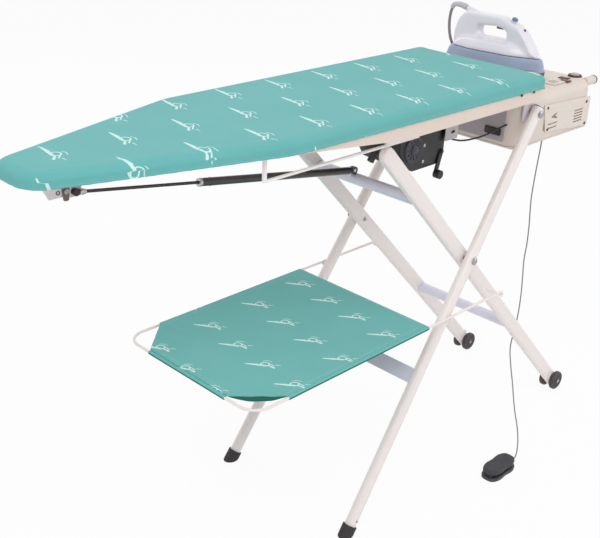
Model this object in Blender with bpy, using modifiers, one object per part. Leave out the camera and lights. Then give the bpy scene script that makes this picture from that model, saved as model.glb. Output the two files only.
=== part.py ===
"""Folding vacuum ironing table with a steam generator, an iron and a laundry shelf.

Metres, +Z up. The nose of the board points to -X and the generator is at +X.
The origin is on the floor, under the middle of the table.
"""
import math

import bmesh
import bpy
from mathutils import Vector

for old in list(bpy.data.objects):
    bpy.data.objects.remove(old, do_unlink=True)

# Clearance between pieces that touch, and the overrun of every cut
gap = 0.0003
overrun = 0.002

# Board
table_height = 0.920
board_rear_x = 0.443
board_length = 1.202
board_width = 0.360
taper_length = 0.427
nose_width = 0.112
rear_corner_radius = 0.018
taper_corner_radius = 0.160
nose_corner_radius = 0.050
cover_depth = 0.025
cover_cloth = 0.0014
cover_edge_radius = 0.010
pad_thickness = 0.012
plate_thickness = 0.0012
pan_depth = 0.0415
pan_wall = 0.0015
pan_slope_front_x = -0.330
pan_slope_rear_x = -0.030
pan_front_depth = 0.009

# Folding frame
top_pivot_x = 0.441
top_pivot_z = table_height - 0.0923
foot_x = -0.1405
leg_radius = 0.0125
leg_top_half_spacing = 0.1615
leg_foot_half_spacing = 0.187
wheel_x = 0.7332
wheel_radius = 0.0255
wheel_width = 0.0125
flat_leg_half_spacing = 0.1465
flat_leg_width = 0.036
flat_leg_thickness = 0.017
scissor_distance = 0.3563
upper_tube_distance = 0.2364
lower_tube_distance = 0.3612
cross_tube_radius = 0.0125
brace_distance = 0.285
pin_radius = 0.004
bore_clearance = 0.0003

# Small pieces under the board
latch = Vector((-0.672, table_height - 0.053))
release = Vector((-0.045, table_height - 0.0665))

# Gas strut
strut_y = 0.030
strut_eye = Vector((0.062, table_height - 0.193))
strut_stud = Vector((-0.623, table_height - 0.080))
strut_body_radius = 0.0078
strut_rod_radius = 0.003
strut_body_length = 0.432
eye_half_width = 0.004
eye_radius = 0.0085

# Steam generator
housing_front_x = 0.402
housing_rear_x = 0.716
housing_half_width = 0.143
housing_bottom = table_height - 0.175
housing_wall = 0.0025
housing_radius = 0.014
housing_base_wall = 0.004
rocker_half = Vector((0.0065, 0.0095))
rocker_places = (("rocker_power", (0.650, -0.100)), ("rocker_steam", (0.629, -0.116)))
dial_place = (0.684, -0.108)
cable_exit = Vector((0.545, -0.125, housing_bottom - 0.010))

# Fan
fan_near_y = -0.090
fan_far_y = 0.030
fan_wall = 0.002
fan_axis_x = 0.135
fan_axis_z = table_height - 0.117
fan_left_x = 0.062
fan_right_x = 0.212
fan_bottom = table_height - 0.175
fan_flap = Vector((0.200, fan_bottom + 0.027))
fan_flap_wall = 0.003

# Shelf
shelf_z = 0.430
shelf_half_width = 0.192
shelf_front_x = -0.424
shelf_cloth_rear_x = 0.078
shelf_wire_radius = 0.003
shelf_cloth_thickness = 0.0016
shelf_pin_radius = 0.003
shelf_slack = 0.0008
shelf_corner_radius = 0.040
shelf_chamfer = 0.085

# Iron
iron_x = 0.565
iron_nose_y = -0.107
iron_length = 0.274
iron_width = 0.104
iron_base_z = table_height - 0.035
iron_height = 0.112
iron_base_height = 0.030
trigger_y = 0.036
trigger_travel = 0.003
handle_opening = 0.031
handle_low = iron_base_z + 0.057
handle_top = handle_low + handle_opening
handle_front_y = 0.010
handle_rear_y = 0.093

# Hose, cable and pedal
hose_diameter = 0.007
hose_turns_down = 3.25
hose_turns_back = 3.0
coil_x = 0.660
coil_y = 0.066
coil_mean_radius = 0.0355
cable_diameter = 0.003
pedal_x = 0.295
pedal_y = -0.280
pedal_length = 0.100
pedal_width = 0.048
pedal_height = 0.028
treadle_low = 0.0155
treadle_hinge_x = 0.257

# Heights and places that follow
cover_bottom = table_height - cover_depth
pan_top = table_height - cover_cloth - pad_thickness - plate_thickness - 3 * gap
pan_bottom = pan_top - pan_depth
pan_front_bottom = pan_top - pan_front_depth
nose_x = board_rear_x - board_length
housing_top = pan_bottom - gap
pan_inset = cover_cloth + 2 * gap
leg_angle = math.atan2(top_pivot_z, top_pivot_x - foot_x)
leg_way = Vector((-math.cos(leg_angle), -math.sin(leg_angle)))
top_pivot = Vector((top_pivot_x, top_pivot_z))
scissor = top_pivot + leg_way * scissor_distance
wheel_centre = Vector((wheel_x, wheel_radius))
wheel_distance = (wheel_centre - scissor).length
flat_way = (wheel_centre - scissor).normalized()
flat_leg_angle = math.atan2(-flat_way.y, flat_way.x)
slider_distance = (top_pivot_z - scissor.y) / math.sin(flat_leg_angle)
slider = scissor - flat_way * slider_distance
shelf_hook_radius = shelf_pin_radius + shelf_wire_radius + shelf_slack
shelf_pin_distance = (scissor.y - shelf_z + shelf_hook_radius) / math.sin(flat_leg_angle)
shelf_pin = scissor + flat_way * shelf_pin_distance
flat_inner = flat_leg_half_spacing - flat_leg_thickness / 2
flat_outer = flat_leg_half_spacing + flat_leg_thickness / 2
foot_radius = leg_radius + 0.0035

table = bpy.data.collections.new("vacuum_ironing_table")
cutters = bpy.data.collections.new("cutters")
bpy.context.scene.collection.children.link(table)
bpy.context.scene.collection.children.link(cutters)


def paint(name, colour, roughness, metallic=0.0):
    """A Principled material."""
    material = bpy.data.materials.new(name)
    material.use_nodes = True
    shader = material.node_tree.nodes["Principled BSDF"]
    shader.inputs["Base Color"].default_value = (*colour, 1.0)
    shader.inputs["Roughness"].default_value = roughness
    shader.inputs["Metallic"].default_value = metallic
    return material


teal_cloth = paint("teal_cloth", (0.15, 0.45, 0.43), 0.9)
felt = paint("felt", (0.75, 0.72, 0.66), 0.95)
cream_paint = paint("cream_paint", (0.72, 0.62, 0.56), 0.45)
white_paint = paint("white_paint", (0.80, 0.75, 0.74), 0.4)
lavender_paint = paint("lavender_paint", (0.68, 0.68, 0.80), 0.4)
cream_plastic = paint("cream_plastic", (0.75, 0.68, 0.61), 0.5)
bare_steel = paint("bare_steel", (0.6, 0.6, 0.62), 0.35, 1.0)
black_plastic = paint("black_plastic", (0.03, 0.03, 0.035), 0.5)
black_rubber = paint("black_rubber", (0.02, 0.02, 0.02), 0.8)
brown_plastic = paint("brown_plastic", (0.05, 0.04, 0.035), 0.5)
iron_white = paint("iron_white", (0.80, 0.77, 0.82), 0.3)
iron_blue = paint("iron_blue", (0.30, 0.38, 0.52), 0.4)
trigger_red = paint("trigger_red", (0.20, 0.01, 0.03), 0.4)
grey_rubber = paint("grey_rubber", (0.32, 0.30, 0.31), 0.7)
brass = paint("brass", (0.7, 0.5, 0.25), 0.35, 1.0)


def own(shape, name, material, collection=table):
    """Name an object, give it its material and put it in its collection."""
    shape.name = name
    shape.data.name = name
    for held in list(shape.users_collection):
        held.objects.unlink(shape)
    collection.objects.link(shape)
    shape.data.materials.clear()
    if material:
        shape.data.materials.append(material)
    return shape


def as_cutter(shape):
    """Keep a shape as a guide that only cuts or joins others."""
    own(shape, shape.name, None, cutters)
    shape.hide_render = True
    shape.display_type = "WIRE"
    return shape


def combine(target, other, operation="DIFFERENCE"):
    """Cut or join target with a guide, by an exact Boolean."""
    step = target.modifiers.new(operation.lower(), "BOOLEAN")
    step.operation = operation
    step.solver = "EXACT"
    step.object = other
    return target


def soften(shape, angle=math.radians(35)):
    """Shade round faces smooth and keep the sharp edges."""
    shape.data.shade_smooth()
    shape.data.set_sharp_from_angle(angle=angle)
    return shape


def rounded(corners, steps=4):
    """Points round a closed outline of (x, y, radius) corners."""
    points = []
    for index, (x, y, radius) in enumerate(corners):
        corner = Vector((x, y))
        before = (Vector(corners[index - 1][:2]) - corner).normalized()
        after = (Vector(corners[(index + 1) % len(corners)][:2]) - corner).normalized()
        if radius <= 0:
            points.append(corner)
            continue
        half = before.angle(after) / 2
        centre = corner + (before + after).normalized() * (radius / math.sin(half))
        start = corner + before * (radius / math.tan(half)) - centre
        end = corner + after * (radius / math.tan(half)) - centre
        first = math.atan2(start.y, start.x)
        turn = (math.atan2(end.y, end.x) - first + math.pi) % math.tau - math.pi
        for step in range(steps + 1):
            angle = first + turn * step / steps
            points.append(centre + Vector((math.cos(angle), math.sin(angle))) * radius)
    return points


def ring(centre, radius, sides=16):
    """Points round a circle."""
    turns = [math.tau * side / sides for side in range(sides)]
    return [Vector((centre[0] + math.cos(a) * radius, centre[1] + math.sin(a) * radius)) for a in turns]


def slab(name, outlines, low, high, material, edge=0.0):
    """A flat outline with its holes, thick from low to high along Z."""
    curve = bpy.data.curves.new(name, "CURVE")
    curve.dimensions = "2D"
    curve.fill_mode = "BOTH"
    for outline in outlines:
        spline = curve.splines.new("POLY")
        spline.points.add(len(outline) - 1)
        for point, place in zip(spline.points, outline):
            point.co = (place[0], place[1], 0.0, 1.0)
        spline.use_cyclic_u = True
    curve.extrude = (high - low) / 2 - edge
    curve.bevel_depth = edge
    curve.offset = -edge
    curve.bevel_resolution = 1
    shape = bpy.data.objects.new(name, curve)
    table.objects.link(shape)
    shape.location.z = (low + high) / 2
    return own(shape, name, material)


def upright(name, outlines, low_y, high_y, material, edge=0.0):
    """A flat outline drawn in X and Z, thick from low_y to high_y along Y."""
    shape = slab(name, outlines, low_y, high_y, material, edge)
    shape.location = (0.0, (low_y + high_y) / 2, 0.0)
    shape.rotation_euler = (math.pi / 2, 0.0, 0.0)
    return shape


def as_mesh(shape):
    """Turn a curve object into a mesh with welded caps, where it stands."""
    bpy.context.view_layer.update()
    graph = bpy.context.evaluated_depsgraph_get()
    data = bpy.data.meshes.new_from_object(shape.evaluated_get(graph))
    work = bmesh.new()
    work.from_mesh(data)
    bmesh.ops.remove_doubles(work, verts=work.verts, dist=0.00001)
    bmesh.ops.recalc_face_normals(work, faces=work.faces)
    work.to_mesh(data)
    work.free()
    name = shape.name
    solid = bpy.data.objects.new(name, data)
    table.objects.link(solid)
    solid.matrix_world = shape.matrix_world
    bpy.data.objects.remove(shape, do_unlink=True)
    solid.name = name
    return solid


def block(name, low, high, material, edge=0.0, segments=2):
    """A box between two corners, with rounded edges where asked."""
    low, high = Vector(low), Vector(high)
    bpy.ops.mesh.primitive_cube_add(size=1.0, location=(low + high) / 2)
    shape = bpy.context.active_object
    for vertex in shape.data.vertices:
        vertex.co = Vector([vertex.co[axis] * (high - low)[axis] for axis in range(3)])
    if edge:
        bevel = shape.modifiers.new("bevel", "BEVEL")
        bevel.width = edge
        bevel.segments = segments
    return own(shape, name, material)


def rod(name, start, end, radius, material, sides=20):
    """A round bar between two points."""
    start, end = Vector(start), Vector(end)
    bpy.ops.mesh.primitive_cylinder_add(vertices=sides, radius=radius,
                                        depth=(end - start).length, location=(start + end) / 2)
    shape = bpy.context.active_object
    shape.rotation_mode = "QUATERNION"
    shape.rotation_quaternion = (end - start).to_track_quat("Z", "Y")
    return soften(own(shape, name, material))


def wire(name, points, radius, material, resolution=2, closed=False):
    """A round wire or tube along a list of points."""
    curve = bpy.data.curves.new(name, "CURVE")
    curve.dimensions = "3D"
    spline = curve.splines.new("POLY")
    spline.points.add(len(points) - 1)
    for point, place in zip(spline.points, points):
        point.co = (*place, 1.0)
    spline.use_cyclic_u = closed
    curve.bevel_depth = radius
    curve.bevel_resolution = resolution
    curve.use_fill_caps = not closed
    shape = bpy.data.objects.new(name, curve)
    table.objects.link(shape)
    return own(shape, name, material)


def turned(name, profile, centre, axis, material, sides=24, closed=False):
    """A turned piece: (radius, height) points down its outer side, spun about axis."""
    mesh = bpy.data.meshes.new(name)
    verts = [(radius, 0.0, height) for radius, height in profile]
    edges = [(index, index + 1) for index in range(len(verts) - 1)]
    if closed:
        edges.append((len(verts) - 1, 0))
    mesh.from_pydata(verts, edges, [])
    shape = bpy.data.objects.new(name, mesh)
    table.objects.link(shape)
    spin = shape.modifiers.new("screw", "SCREW")
    spin.steps = sides
    spin.render_steps = sides
    spin.use_merge_vertices = True
    spin.merge_threshold = 0.00001
    spin.use_smooth_shade = True
    shape.location = centre
    shape.rotation_mode = "QUATERNION"
    shape.rotation_quaternion = Vector(axis).to_track_quat("Z", "Y")
    return own(shape, name, material)


def lofted(name, rings, material, cap_start=True, cap_end=True):
    """A skin through rings of the same number of points."""
    work = bmesh.new()
    rows = [[work.verts.new(place) for place in row] for row in rings]
    for lower, upper in zip(rows, rows[1:]):
        for index, vertex in enumerate(lower):
            after = (index + 1) % len(lower)
            work.faces.new((vertex, lower[after], upper[after], upper[index]))
    if cap_start:
        work.faces.new(list(reversed(rows[0])))
    if cap_end:
        work.faces.new(rows[-1])
    bmesh.ops.recalc_face_normals(work, faces=work.faces)
    mesh = bpy.data.meshes.new(name)
    work.to_mesh(mesh)
    work.free()
    shape = bpy.data.objects.new(name, mesh)
    table.objects.link(shape)
    return own(shape, name, material)


def thicken(shape, wall):
    """Give an open skin its wall, inwards."""
    solid = shape.modifiers.new("wall", "SOLIDIFY")
    solid.thickness = wall
    solid.offset = -1.0
    solid.use_even_offset = True
    return shape


def smooth_route(points, spacing):
    """Evenly spaced points along a smooth curve through the given ones."""
    guide = [Vector(p) for p in points]
    ends = [guide[0] * 2 - guide[1]] + guide + [guide[-1] * 2 - guide[-2]]
    fine = []
    samples = 24
    for a, b, c, d in zip(ends, ends[1:], ends[2:], ends[3:]):
        for step in range(samples):
            t = step / samples
            fine.append(0.5 * ((2 * b) + (c - a) * t + (2 * a - 5 * b + 4 * c - d) * t * t
                               + (3 * b - a - 3 * c + d) * t * t * t))
    fine.append(guide[-1])
    total = sum((q - p).length for p, q in zip(fine, fine[1:]))
    count = max(2, round(total / spacing))
    route, run, wanted = [fine[0]], 0.0, total / count
    for p, q in zip(fine, fine[1:]):
        step = (q - p).length
        while run + step >= wanted and len(route) < count:
            route.append(p.lerp(q, (wanted - run) / step))
            wanted += total / count
        run += step
    route.append(fine[-1])
    return route


def board_outline(inset):
    """The plan of the board, drawn in by inset all round."""
    half, nose_half = board_width / 2 - inset, nose_width / 2 - inset
    rear, nose = board_rear_x - inset, nose_x + inset
    taper_x = nose_x + taper_length
    corners = [(rear, -half, rear_corner_radius - inset), (rear, half, rear_corner_radius - inset),
               (taper_x, half, taper_corner_radius - inset),
               (nose, nose_half, nose_corner_radius - inset),
               (nose, -nose_half, nose_corner_radius - inset),
               (taper_x, -half, taper_corner_radius - inset)]
    return rounded(corners, 5)


def make_board():
    """Sheet-steel pan, perforated plate, felt pad and fitted cover."""
    outline = board_outline(pan_inset)
    pan = lofted("board_pan", [[(x, y, pan_bottom) for x, y in outline],
                               [(x, y, pan_top) for x, y in outline]], cream_paint, cap_end=False)
    raise_front(pan)
    thicken(pan, pan_wall)
    duct_radius = 0.024
    middle_y = (fan_near_y + fan_far_y) / 2
    duct = rod("duct_cut", (fan_axis_x, middle_y, pan_bottom - overrun),
               (fan_axis_x, middle_y, pan_bottom + pan_wall + overrun), duct_radius, None)
    combine(pan, as_cutter(duct))

    slot_length, slot_width, slot_pitch = 0.10, 0.012, 0.16
    row_shares = (-0.5, 0.0, 0.5)
    slot_count = int((board_length - taper_length) / slot_pitch)
    slots = []
    for row in row_shares:
        for column in range(slot_count):
            x = board_rear_x - slot_pitch * (column + 0.5)
            y = row * board_width / 2
            left, right = x - slot_length / 2, x + slot_length / 2
            near, far = y - slot_width / 2, y + slot_width / 2
            slots.append([(left, near), (right, near), (right, far), (left, far)])
    plate_low = pan_top + gap
    slab("perforated_plate", [outline] + slots, plate_low, plate_low + plate_thickness, bare_steel)

    pad_low = plate_low + plate_thickness + gap
    pad_inset = pan_inset + cover_edge_radius / 2
    pad_edge = 0.003
    slab("felt_pad", [board_outline(pad_inset)], pad_low, pad_low + pad_thickness, felt, pad_edge)

    rows = []
    steps = 3
    for step in range(steps + 1):
        angle = math.pi / 2 * step / steps
        inset = cover_edge_radius * (1 - math.sin(angle))
        height = table_height - cover_edge_radius * (1 - math.cos(angle))
        rows.append([(x, y, height) for x, y in board_outline(inset)])
    rows.append([(x, y, cover_bottom) for x, y in board_outline(0.0)])
    cover = lofted("cover", rows, teal_cloth, cap_end=False)
    thicken(cover, cover_cloth)
    soften(cover)


def raise_front(pan):
    """Slope the pan's floor up to its shallow front half."""
    work = bmesh.new()
    work.from_mesh(pan.data)
    for x in (pan_slope_front_x, pan_slope_rear_x):
        bmesh.ops.bisect_plane(work, geom=work.verts[:] + work.edges[:] + work.faces[:],
                               plane_co=(x, 0.0, 0.0), plane_no=(1.0, 0.0, 0.0))
    for vertex in work.verts:
        if vertex.co.z < pan_bottom + gap:
            share = (pan_slope_rear_x - vertex.co.x) / (pan_slope_rear_x - pan_slope_front_x)
            vertex.co.z += (pan_front_bottom - pan_bottom) * min(max(share, 0.0), 1.0)
    work.to_mesh(pan.data)
    work.free()


def make_fixings(name, side):
    """On one side: the slide rail, the rear pivot bracket and its pin."""
    under, front_under = pan_bottom - gap, pan_front_bottom - gap
    rail_width, rail_height, rail_front, rail_rear = 0.006, 0.004, -0.370, 0.045
    rail_low = top_pivot_z + flat_leg_width / 2 + 2 * gap
    rail_top = rail_low + rail_height
    hanger_rear, web_front = rail_front + rail_width, release.x - 0.008
    middle = side * flat_leg_half_spacing
    outline = [(rail_front, rail_low), (rail_rear, rail_low), (rail_rear, under), (web_front, under),
               (web_front, rail_top), (hanger_rear, rail_top), (hanger_rear, front_under),
               (rail_front, front_under)]
    rail = as_mesh(upright("slide_rail_" + name, [outline], middle - rail_width / 2,
                           middle + rail_width / 2, white_paint))
    if name == "near":
        make_release(rail, middle + rail_width / 2)

    bracket_wall, bracket_half, bracket_drop, bracket_corner = 0.0035, 0.026, 0.020, 0.010
    inner = housing_half_width + 2 * gap
    outer = inner + bracket_wall
    front, rear, low = top_pivot_x - bracket_half, top_pivot_x + bracket_half, top_pivot_z - bracket_drop
    outline = rounded([(front, low, bracket_corner), (rear, low, bracket_corner),
                       (rear, under, 0.0), (front, under, 0.0)])
    hole = ring(top_pivot, pin_radius + bore_clearance)
    upright("pivot_bracket_" + name, [outline, hole], *sorted((side * inner, side * outer)), white_paint)
    side_pin("top_pivot_pin_" + name, side, top_pivot, inner + gap,
             leg_top_half_spacing + leg_radius + gap)


def make_release(rail, face_y):
    """Height release: a lever with a black grip, pivoted on a stud of the near rail."""
    grip_start, grip_end = release + Vector((-0.0005, -0.0055)), release + Vector((-0.025, -0.0385))
    hub_radius, hub_width, grip_radius, grip_y, stud_radius = 0.0065, 0.013, 0.007, -0.125, 0.003
    stud = rod("release_stud", (release.x, face_y - overrun, release.y),
               (release.x, face_y + hub_width, release.y), stud_radius, None, 12)
    combine(rail, as_cutter(stud), "UNION")
    hole = ring(release, stud_radius + bore_clearance, 12)
    hub = ring(release, hub_radius, 16)
    lever = as_mesh(upright("release_lever", [hub, hole], face_y + gap, face_y + hub_width, black_rubber))
    grip = rod("grip_guide", (grip_start.x, grip_y, grip_start.y), (grip_end.x, grip_y, grip_end.y),
               grip_radius, None, 16)
    combine(lever, as_cutter(grip), "UNION")


def side_pin(name, side, centre, start, end):
    """A pin along Y from start to end, with a domed head past its outer end."""
    head_radius, head_height = 0.0085, 0.004
    dome_share = 0.6
    profile = [(0.0, end + head_height), (head_radius * dome_share, end + head_height),
               (head_radius, end + head_height / 2), (head_radius, end),
               (pin_radius, end), (pin_radius, start), (0.0, start)]
    return turned(name, profile, (centre.x, 0.0, centre.y), (0, side, 0), bare_steel, 16)


def leg_spacing(distance):
    """Half the spacing of the round legs, at a distance down from the top pivot."""
    full = (top_pivot - Vector((foot_x, 0.0))).length
    return leg_top_half_spacing + (leg_foot_half_spacing - leg_top_half_spacing) * distance / full


def on_leg(distance, side):
    """A point on the axis of a round leg."""
    place = top_pivot + leg_way * distance
    return Vector((place.x, side * leg_spacing(distance), place.y))


def on_flat(distance, y):
    """A point on the axis of a flat leg, measured from the scissor pivot."""
    place = scissor + flat_way * distance
    return Vector((place.x, y, place.y))


def make_round_leg(name, side):
    """Outer leg: a round tube with a rubber foot, drilled for its two pivots."""
    full = (top_pivot - Vector((foot_x, 0.0))).length
    end_length, foot_length, foot_sole = 0.016, 0.022, 0.0105
    leg_end = full - foot_sole
    leg = rod("round_leg_" + name, on_leg(-end_length, side), on_leg(leg_end, side),
              leg_radius, white_paint, 24)
    bore_half = leg_radius * 2
    for distance, place in ((0.0, top_pivot), (scissor_distance, scissor)):
        y = side * leg_spacing(distance)
        bore = rod("leg_bore", (place.x, y - bore_half, place.y), (place.x, y + bore_half, place.y),
                   pin_radius + bore_clearance, None, 16)
        combine(leg, as_cutter(bore))

    rest_z = shelf_z - shelf_wire_radius - shelf_pin_radius - gap
    rest = on_leg((top_pivot_z - rest_z) / math.sin(leg_angle), side)
    stud = rod("shelf_rest_guide", rest, (rest.x, side * (shelf_half_width + shelf_wire_radius), rest_z),
               shelf_pin_radius, None, 12)
    combine(leg, as_cutter(stud), "UNION")

    foot = rod("foot_" + name, on_leg(full - foot_length, side), on_leg(full + foot_length, side),
               foot_radius, black_rubber, 24)
    socket = rod("foot_socket", on_leg(full - 2 * foot_length, side), on_leg(leg_end + gap, side),
                 leg_radius + gap, None, 24)
    combine(foot, as_cutter(socket))
    reach = foot_length * 3
    floor = block("floor_cut", (foot_x - reach, side * leg_foot_half_spacing - reach, -reach),
                  (foot_x + reach, side * leg_foot_half_spacing + reach, 0.0), None)
    combine(foot, as_cutter(floor))


def make_brace():
    """Flat plate across the round legs, welded between their inner faces."""
    brace_width, brace_thickness = 0.034, 0.004
    distance = scissor_distance + brace_distance
    half = leg_spacing(distance) - leg_radius - 2 * gap
    middle = top_pivot + leg_way * distance
    brace = block("leg_brace", (-brace_width / 2, -half, -brace_thickness / 2),
                  (brace_width / 2, half, brace_thickness / 2), lavender_paint)
    brace.location = (middle.x, 0.0, middle.y)
    brace.rotation_euler = (0.0, -leg_angle, 0.0)


def make_flat_leg(name, side):
    """Inner leg: an oval tube with round ends, drilled for the pivot and the wheel axle."""
    turned_in = Vector((-flat_way.y, flat_way.x)) * (flat_leg_width / 2)
    edge_share = 0.4
    edge = flat_leg_thickness * edge_share
    arc_steps = 10
    ends = []
    for distance, turn in ((wheel_distance, 1), (-slider_distance, -1)):
        centre = scissor + flat_way * distance
        start = turned_in * turn
        ends += [centre + rotate(start, -math.pi * step / arc_steps) for step in range(arc_steps + 1)]
    inner, outer = sorted((side * flat_inner, side * flat_outer))
    leg = as_mesh(upright("flat_leg_" + name, [ends], inner, outer, white_paint, edge))
    stud = rod("shelf_pin_guide", (shelf_pin.x, side * flat_leg_half_spacing, shelf_pin.y),
               (shelf_pin.x, side * (shelf_half_width + shelf_wire_radius), shelf_pin.y),
               shelf_pin_radius, None, 12)
    combine(leg, as_cutter(stud), "UNION")
    for place in (scissor, wheel_centre):
        bore = rod("flat_bore", (place.x, inner - overrun, place.y), (place.x, outer + overrun, place.y),
                   pin_radius + bore_clearance, None, 16)
        combine(leg, as_cutter(bore))
    soften(leg)


def rotate(vector, angle):
    """A flat vector turned counter-clockwise."""
    return Vector((vector.x * math.cos(angle) - vector.y * math.sin(angle),
                   vector.x * math.sin(angle) + vector.y * math.cos(angle)))


def make_axle(name, side):
    """Scissor pin of one side, and the wheel axle with its two wheels."""
    pin_inner = 0.003
    side_pin("scissor_pin_" + name, side, scissor, flat_inner - pin_inner,
             leg_spacing(scissor_distance) + leg_radius + gap)
    axle_end = 0.0015
    inner = flat_inner - wheel_width - 2 * gap - axle_end
    outer = flat_outer + wheel_width + 2 * gap + axle_end
    rod("wheel_axle_" + name, (wheel_centre.x, side * inner, wheel_centre.y),
        (wheel_centre.x, side * outer, wheel_centre.y), pin_radius, bare_steel, 16)
    edge_share = 0.25
    edge, bore, half = wheel_width * edge_share, pin_radius + bore_clearance, wheel_width / 2
    profile = [(bore, half), (wheel_radius - edge, half), (wheel_radius, half - edge),
               (wheel_radius, edge - half), (wheel_radius - edge, -half), (bore, -half)]
    for place, y in (("inner", flat_inner - gap - half), ("outer", flat_outer + gap + half)):
        turned("wheel_" + name + "_" + place, profile, (wheel_centre.x, side * y, wheel_centre.y),
               (0, 1, 0), brown_plastic, 28, closed=True)


def make_flat_frame():
    """Cross tubes of the inner legs; the upper one carries the strut's tab and pin."""
    reach = flat_inner - gap
    upper = on_flat(-upper_tube_distance, 0.0)
    tube = rod("upper_cross_tube", (upper.x, -reach, upper.z), (upper.x, reach, upper.z),
               cross_tube_radius, lavender_paint)
    tab_half, tab_wall = 0.008, 0.004
    centre = Vector((upper.x, upper.z))
    across = rotate((strut_eye - centre).normalized(), math.pi / 2) * tab_half
    outline = [centre + across, centre - across]
    arc_steps = 8
    outline += [strut_eye + rotate(-across, math.pi * step / arc_steps) for step in range(arc_steps + 1)]
    tab_start = strut_y + eye_half_width + gap
    tab = as_mesh(upright("tab_guide", [outline], tab_start, tab_start + tab_wall, None))
    combine(tube, as_cutter(tab), "UNION")
    stub = rod("stub_guide", (strut_eye.x, strut_y - eye_half_width, strut_eye.y),
               (strut_eye.x, tab_start + tab_wall / 2, strut_eye.y), pin_radius, None, 12)
    combine(tube, as_cutter(stub), "UNION")

    lower = on_flat(lower_tube_distance, 0.0)
    rod("lower_cross_tube", (lower.x, -reach, lower.z), (lower.x, reach, lower.z),
        cross_tube_radius, lavender_paint)


def make_strut():
    """Gas strut: body with a drilled eye on the cross tube, rod with a flat end at the nose."""
    way = (strut_stud - strut_eye).normalized()

    def along(distance):
        place = strut_eye + way * distance
        return Vector((place.x, strut_y, place.y))

    neck_length, neck_share = 2 * eye_radius, 0.9
    body = rod("strut_body", along(neck_length), along(strut_body_length), strut_body_radius, black_plastic)
    neck = rod("neck_guide", along(eye_radius / 2), along(neck_length + strut_body_radius),
               eye_half_width * neck_share, None, 12)
    combine(body, as_cutter(neck), "UNION")
    eye = rod("eye_guide", (strut_eye.x, strut_y - eye_half_width, strut_eye.y),
              (strut_eye.x, strut_y + eye_half_width, strut_eye.y), eye_radius, None)
    combine(body, as_cutter(eye), "UNION")
    hole = rod("eye_cut", (strut_eye.x, strut_y - 2 * eye_half_width, strut_eye.y),
               (strut_eye.x, strut_y + 2 * eye_half_width, strut_eye.y),
               pin_radius + bore_clearance, None, 12)
    combine(body, as_cutter(hole))
    end_wall = 0.030
    bore = rod("rod_cut", along(end_wall), along(strut_body_length + overrun),
               strut_rod_radius + bore_clearance, None, 12)
    combine(body, as_cutter(bore))

    reach = (strut_stud - strut_eye).length
    held, end_radius = 0.030, 0.0065
    piston = rod("strut_rod", along(strut_body_length - held), along(reach), strut_rod_radius,
                 bare_steel, 12)
    end = rod("rod_end_guide", (strut_stud.x, strut_y - eye_half_width, strut_stud.y),
              (strut_stud.x, strut_y + eye_half_width, strut_stud.y), end_radius, None)
    combine(piston, as_cutter(end), "UNION")


def make_nose():
    """Channel bracket under the nose, with the strut's ear, and the latch on its near ear."""
    under = pan_front_bottom - gap
    wall, lip, front_inset, near_ear = 0.003, 0.0006, 0.0385, -0.018
    near_drop, near_reach, slope = 0.009, 0.0085, 0.0195
    ear_drop, ear_half, chamfer = 0.0095, 0.014, 0.006
    far_ear, ear_top = strut_y + eye_half_width + gap, under - wall / 2
    front, rear = nose_x + front_inset, strut_stud.x + ear_half
    flange = block("nose_bracket", (front - lip, near_ear - lip, under - wall),
                   (rear + lip, far_ear + wall + lip, under), white_paint)
    near_low, near_rear = latch.y - near_drop, latch.x + near_reach
    near_outline = [(front, ear_top), (front + slope, near_low), (near_rear, near_low), (near_rear, ear_top)]
    far_low, far_front = strut_stud.y - ear_drop, strut_stud.x - ear_half
    far_outline = [(far_front, ear_top), (far_front, far_low + chamfer), (far_front + chamfer, far_low),
                   (rear - chamfer, far_low), (rear, far_low + chamfer), (rear, ear_top)]
    for name, start, outline in (("near", near_ear, near_outline), ("far", far_ear, far_outline)):
        ear = as_mesh(upright("ear_guide_" + name, [outline], start, start + wall, None))
        combine(flange, as_cutter(ear), "UNION")
    latch_half, latch_drop, latch_tip_half, latch_tip_radius = 0.0068, 0.016, 0.0046, 0.003
    latch_y = near_ear - gap
    stub = rod("latch_stub", (latch.x, near_ear + wall / 2, latch.y), (latch.x, latch_y - wall, latch.y),
               pin_radius, None, 12)
    combine(flange, as_cutter(stub), "UNION")
    outline = rounded([(latch.x - latch_half, latch.y + latch_half, latch_half / 2),
                       (latch.x - latch_tip_half, latch.y - latch_drop, latch_tip_radius),
                       (latch.x + latch_tip_half, latch.y - latch_drop, latch_tip_radius),
                       (latch.x + latch_half, latch.y + latch_half, latch_half / 2)])
    hole = ring(latch, pin_radius + bore_clearance, 12)
    upright("nose_latch", [outline, hole], latch_y - wall, latch_y, brown_plastic)


def fan_outline(inset):
    """Side view of the scroll-shaped fan box, drawn in by inset."""
    left, right = fan_left_x + inset, fan_right_x - inset
    low, top = fan_bottom + inset, pan_bottom - gap - inset
    cut = 0.024
    return [(left, top), (left, low + 2 * cut), (left + cut, low + cut / 2), (left + 2 * cut, low),
            (right - cut, low), (right, low + cut), (right, top)]


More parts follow.
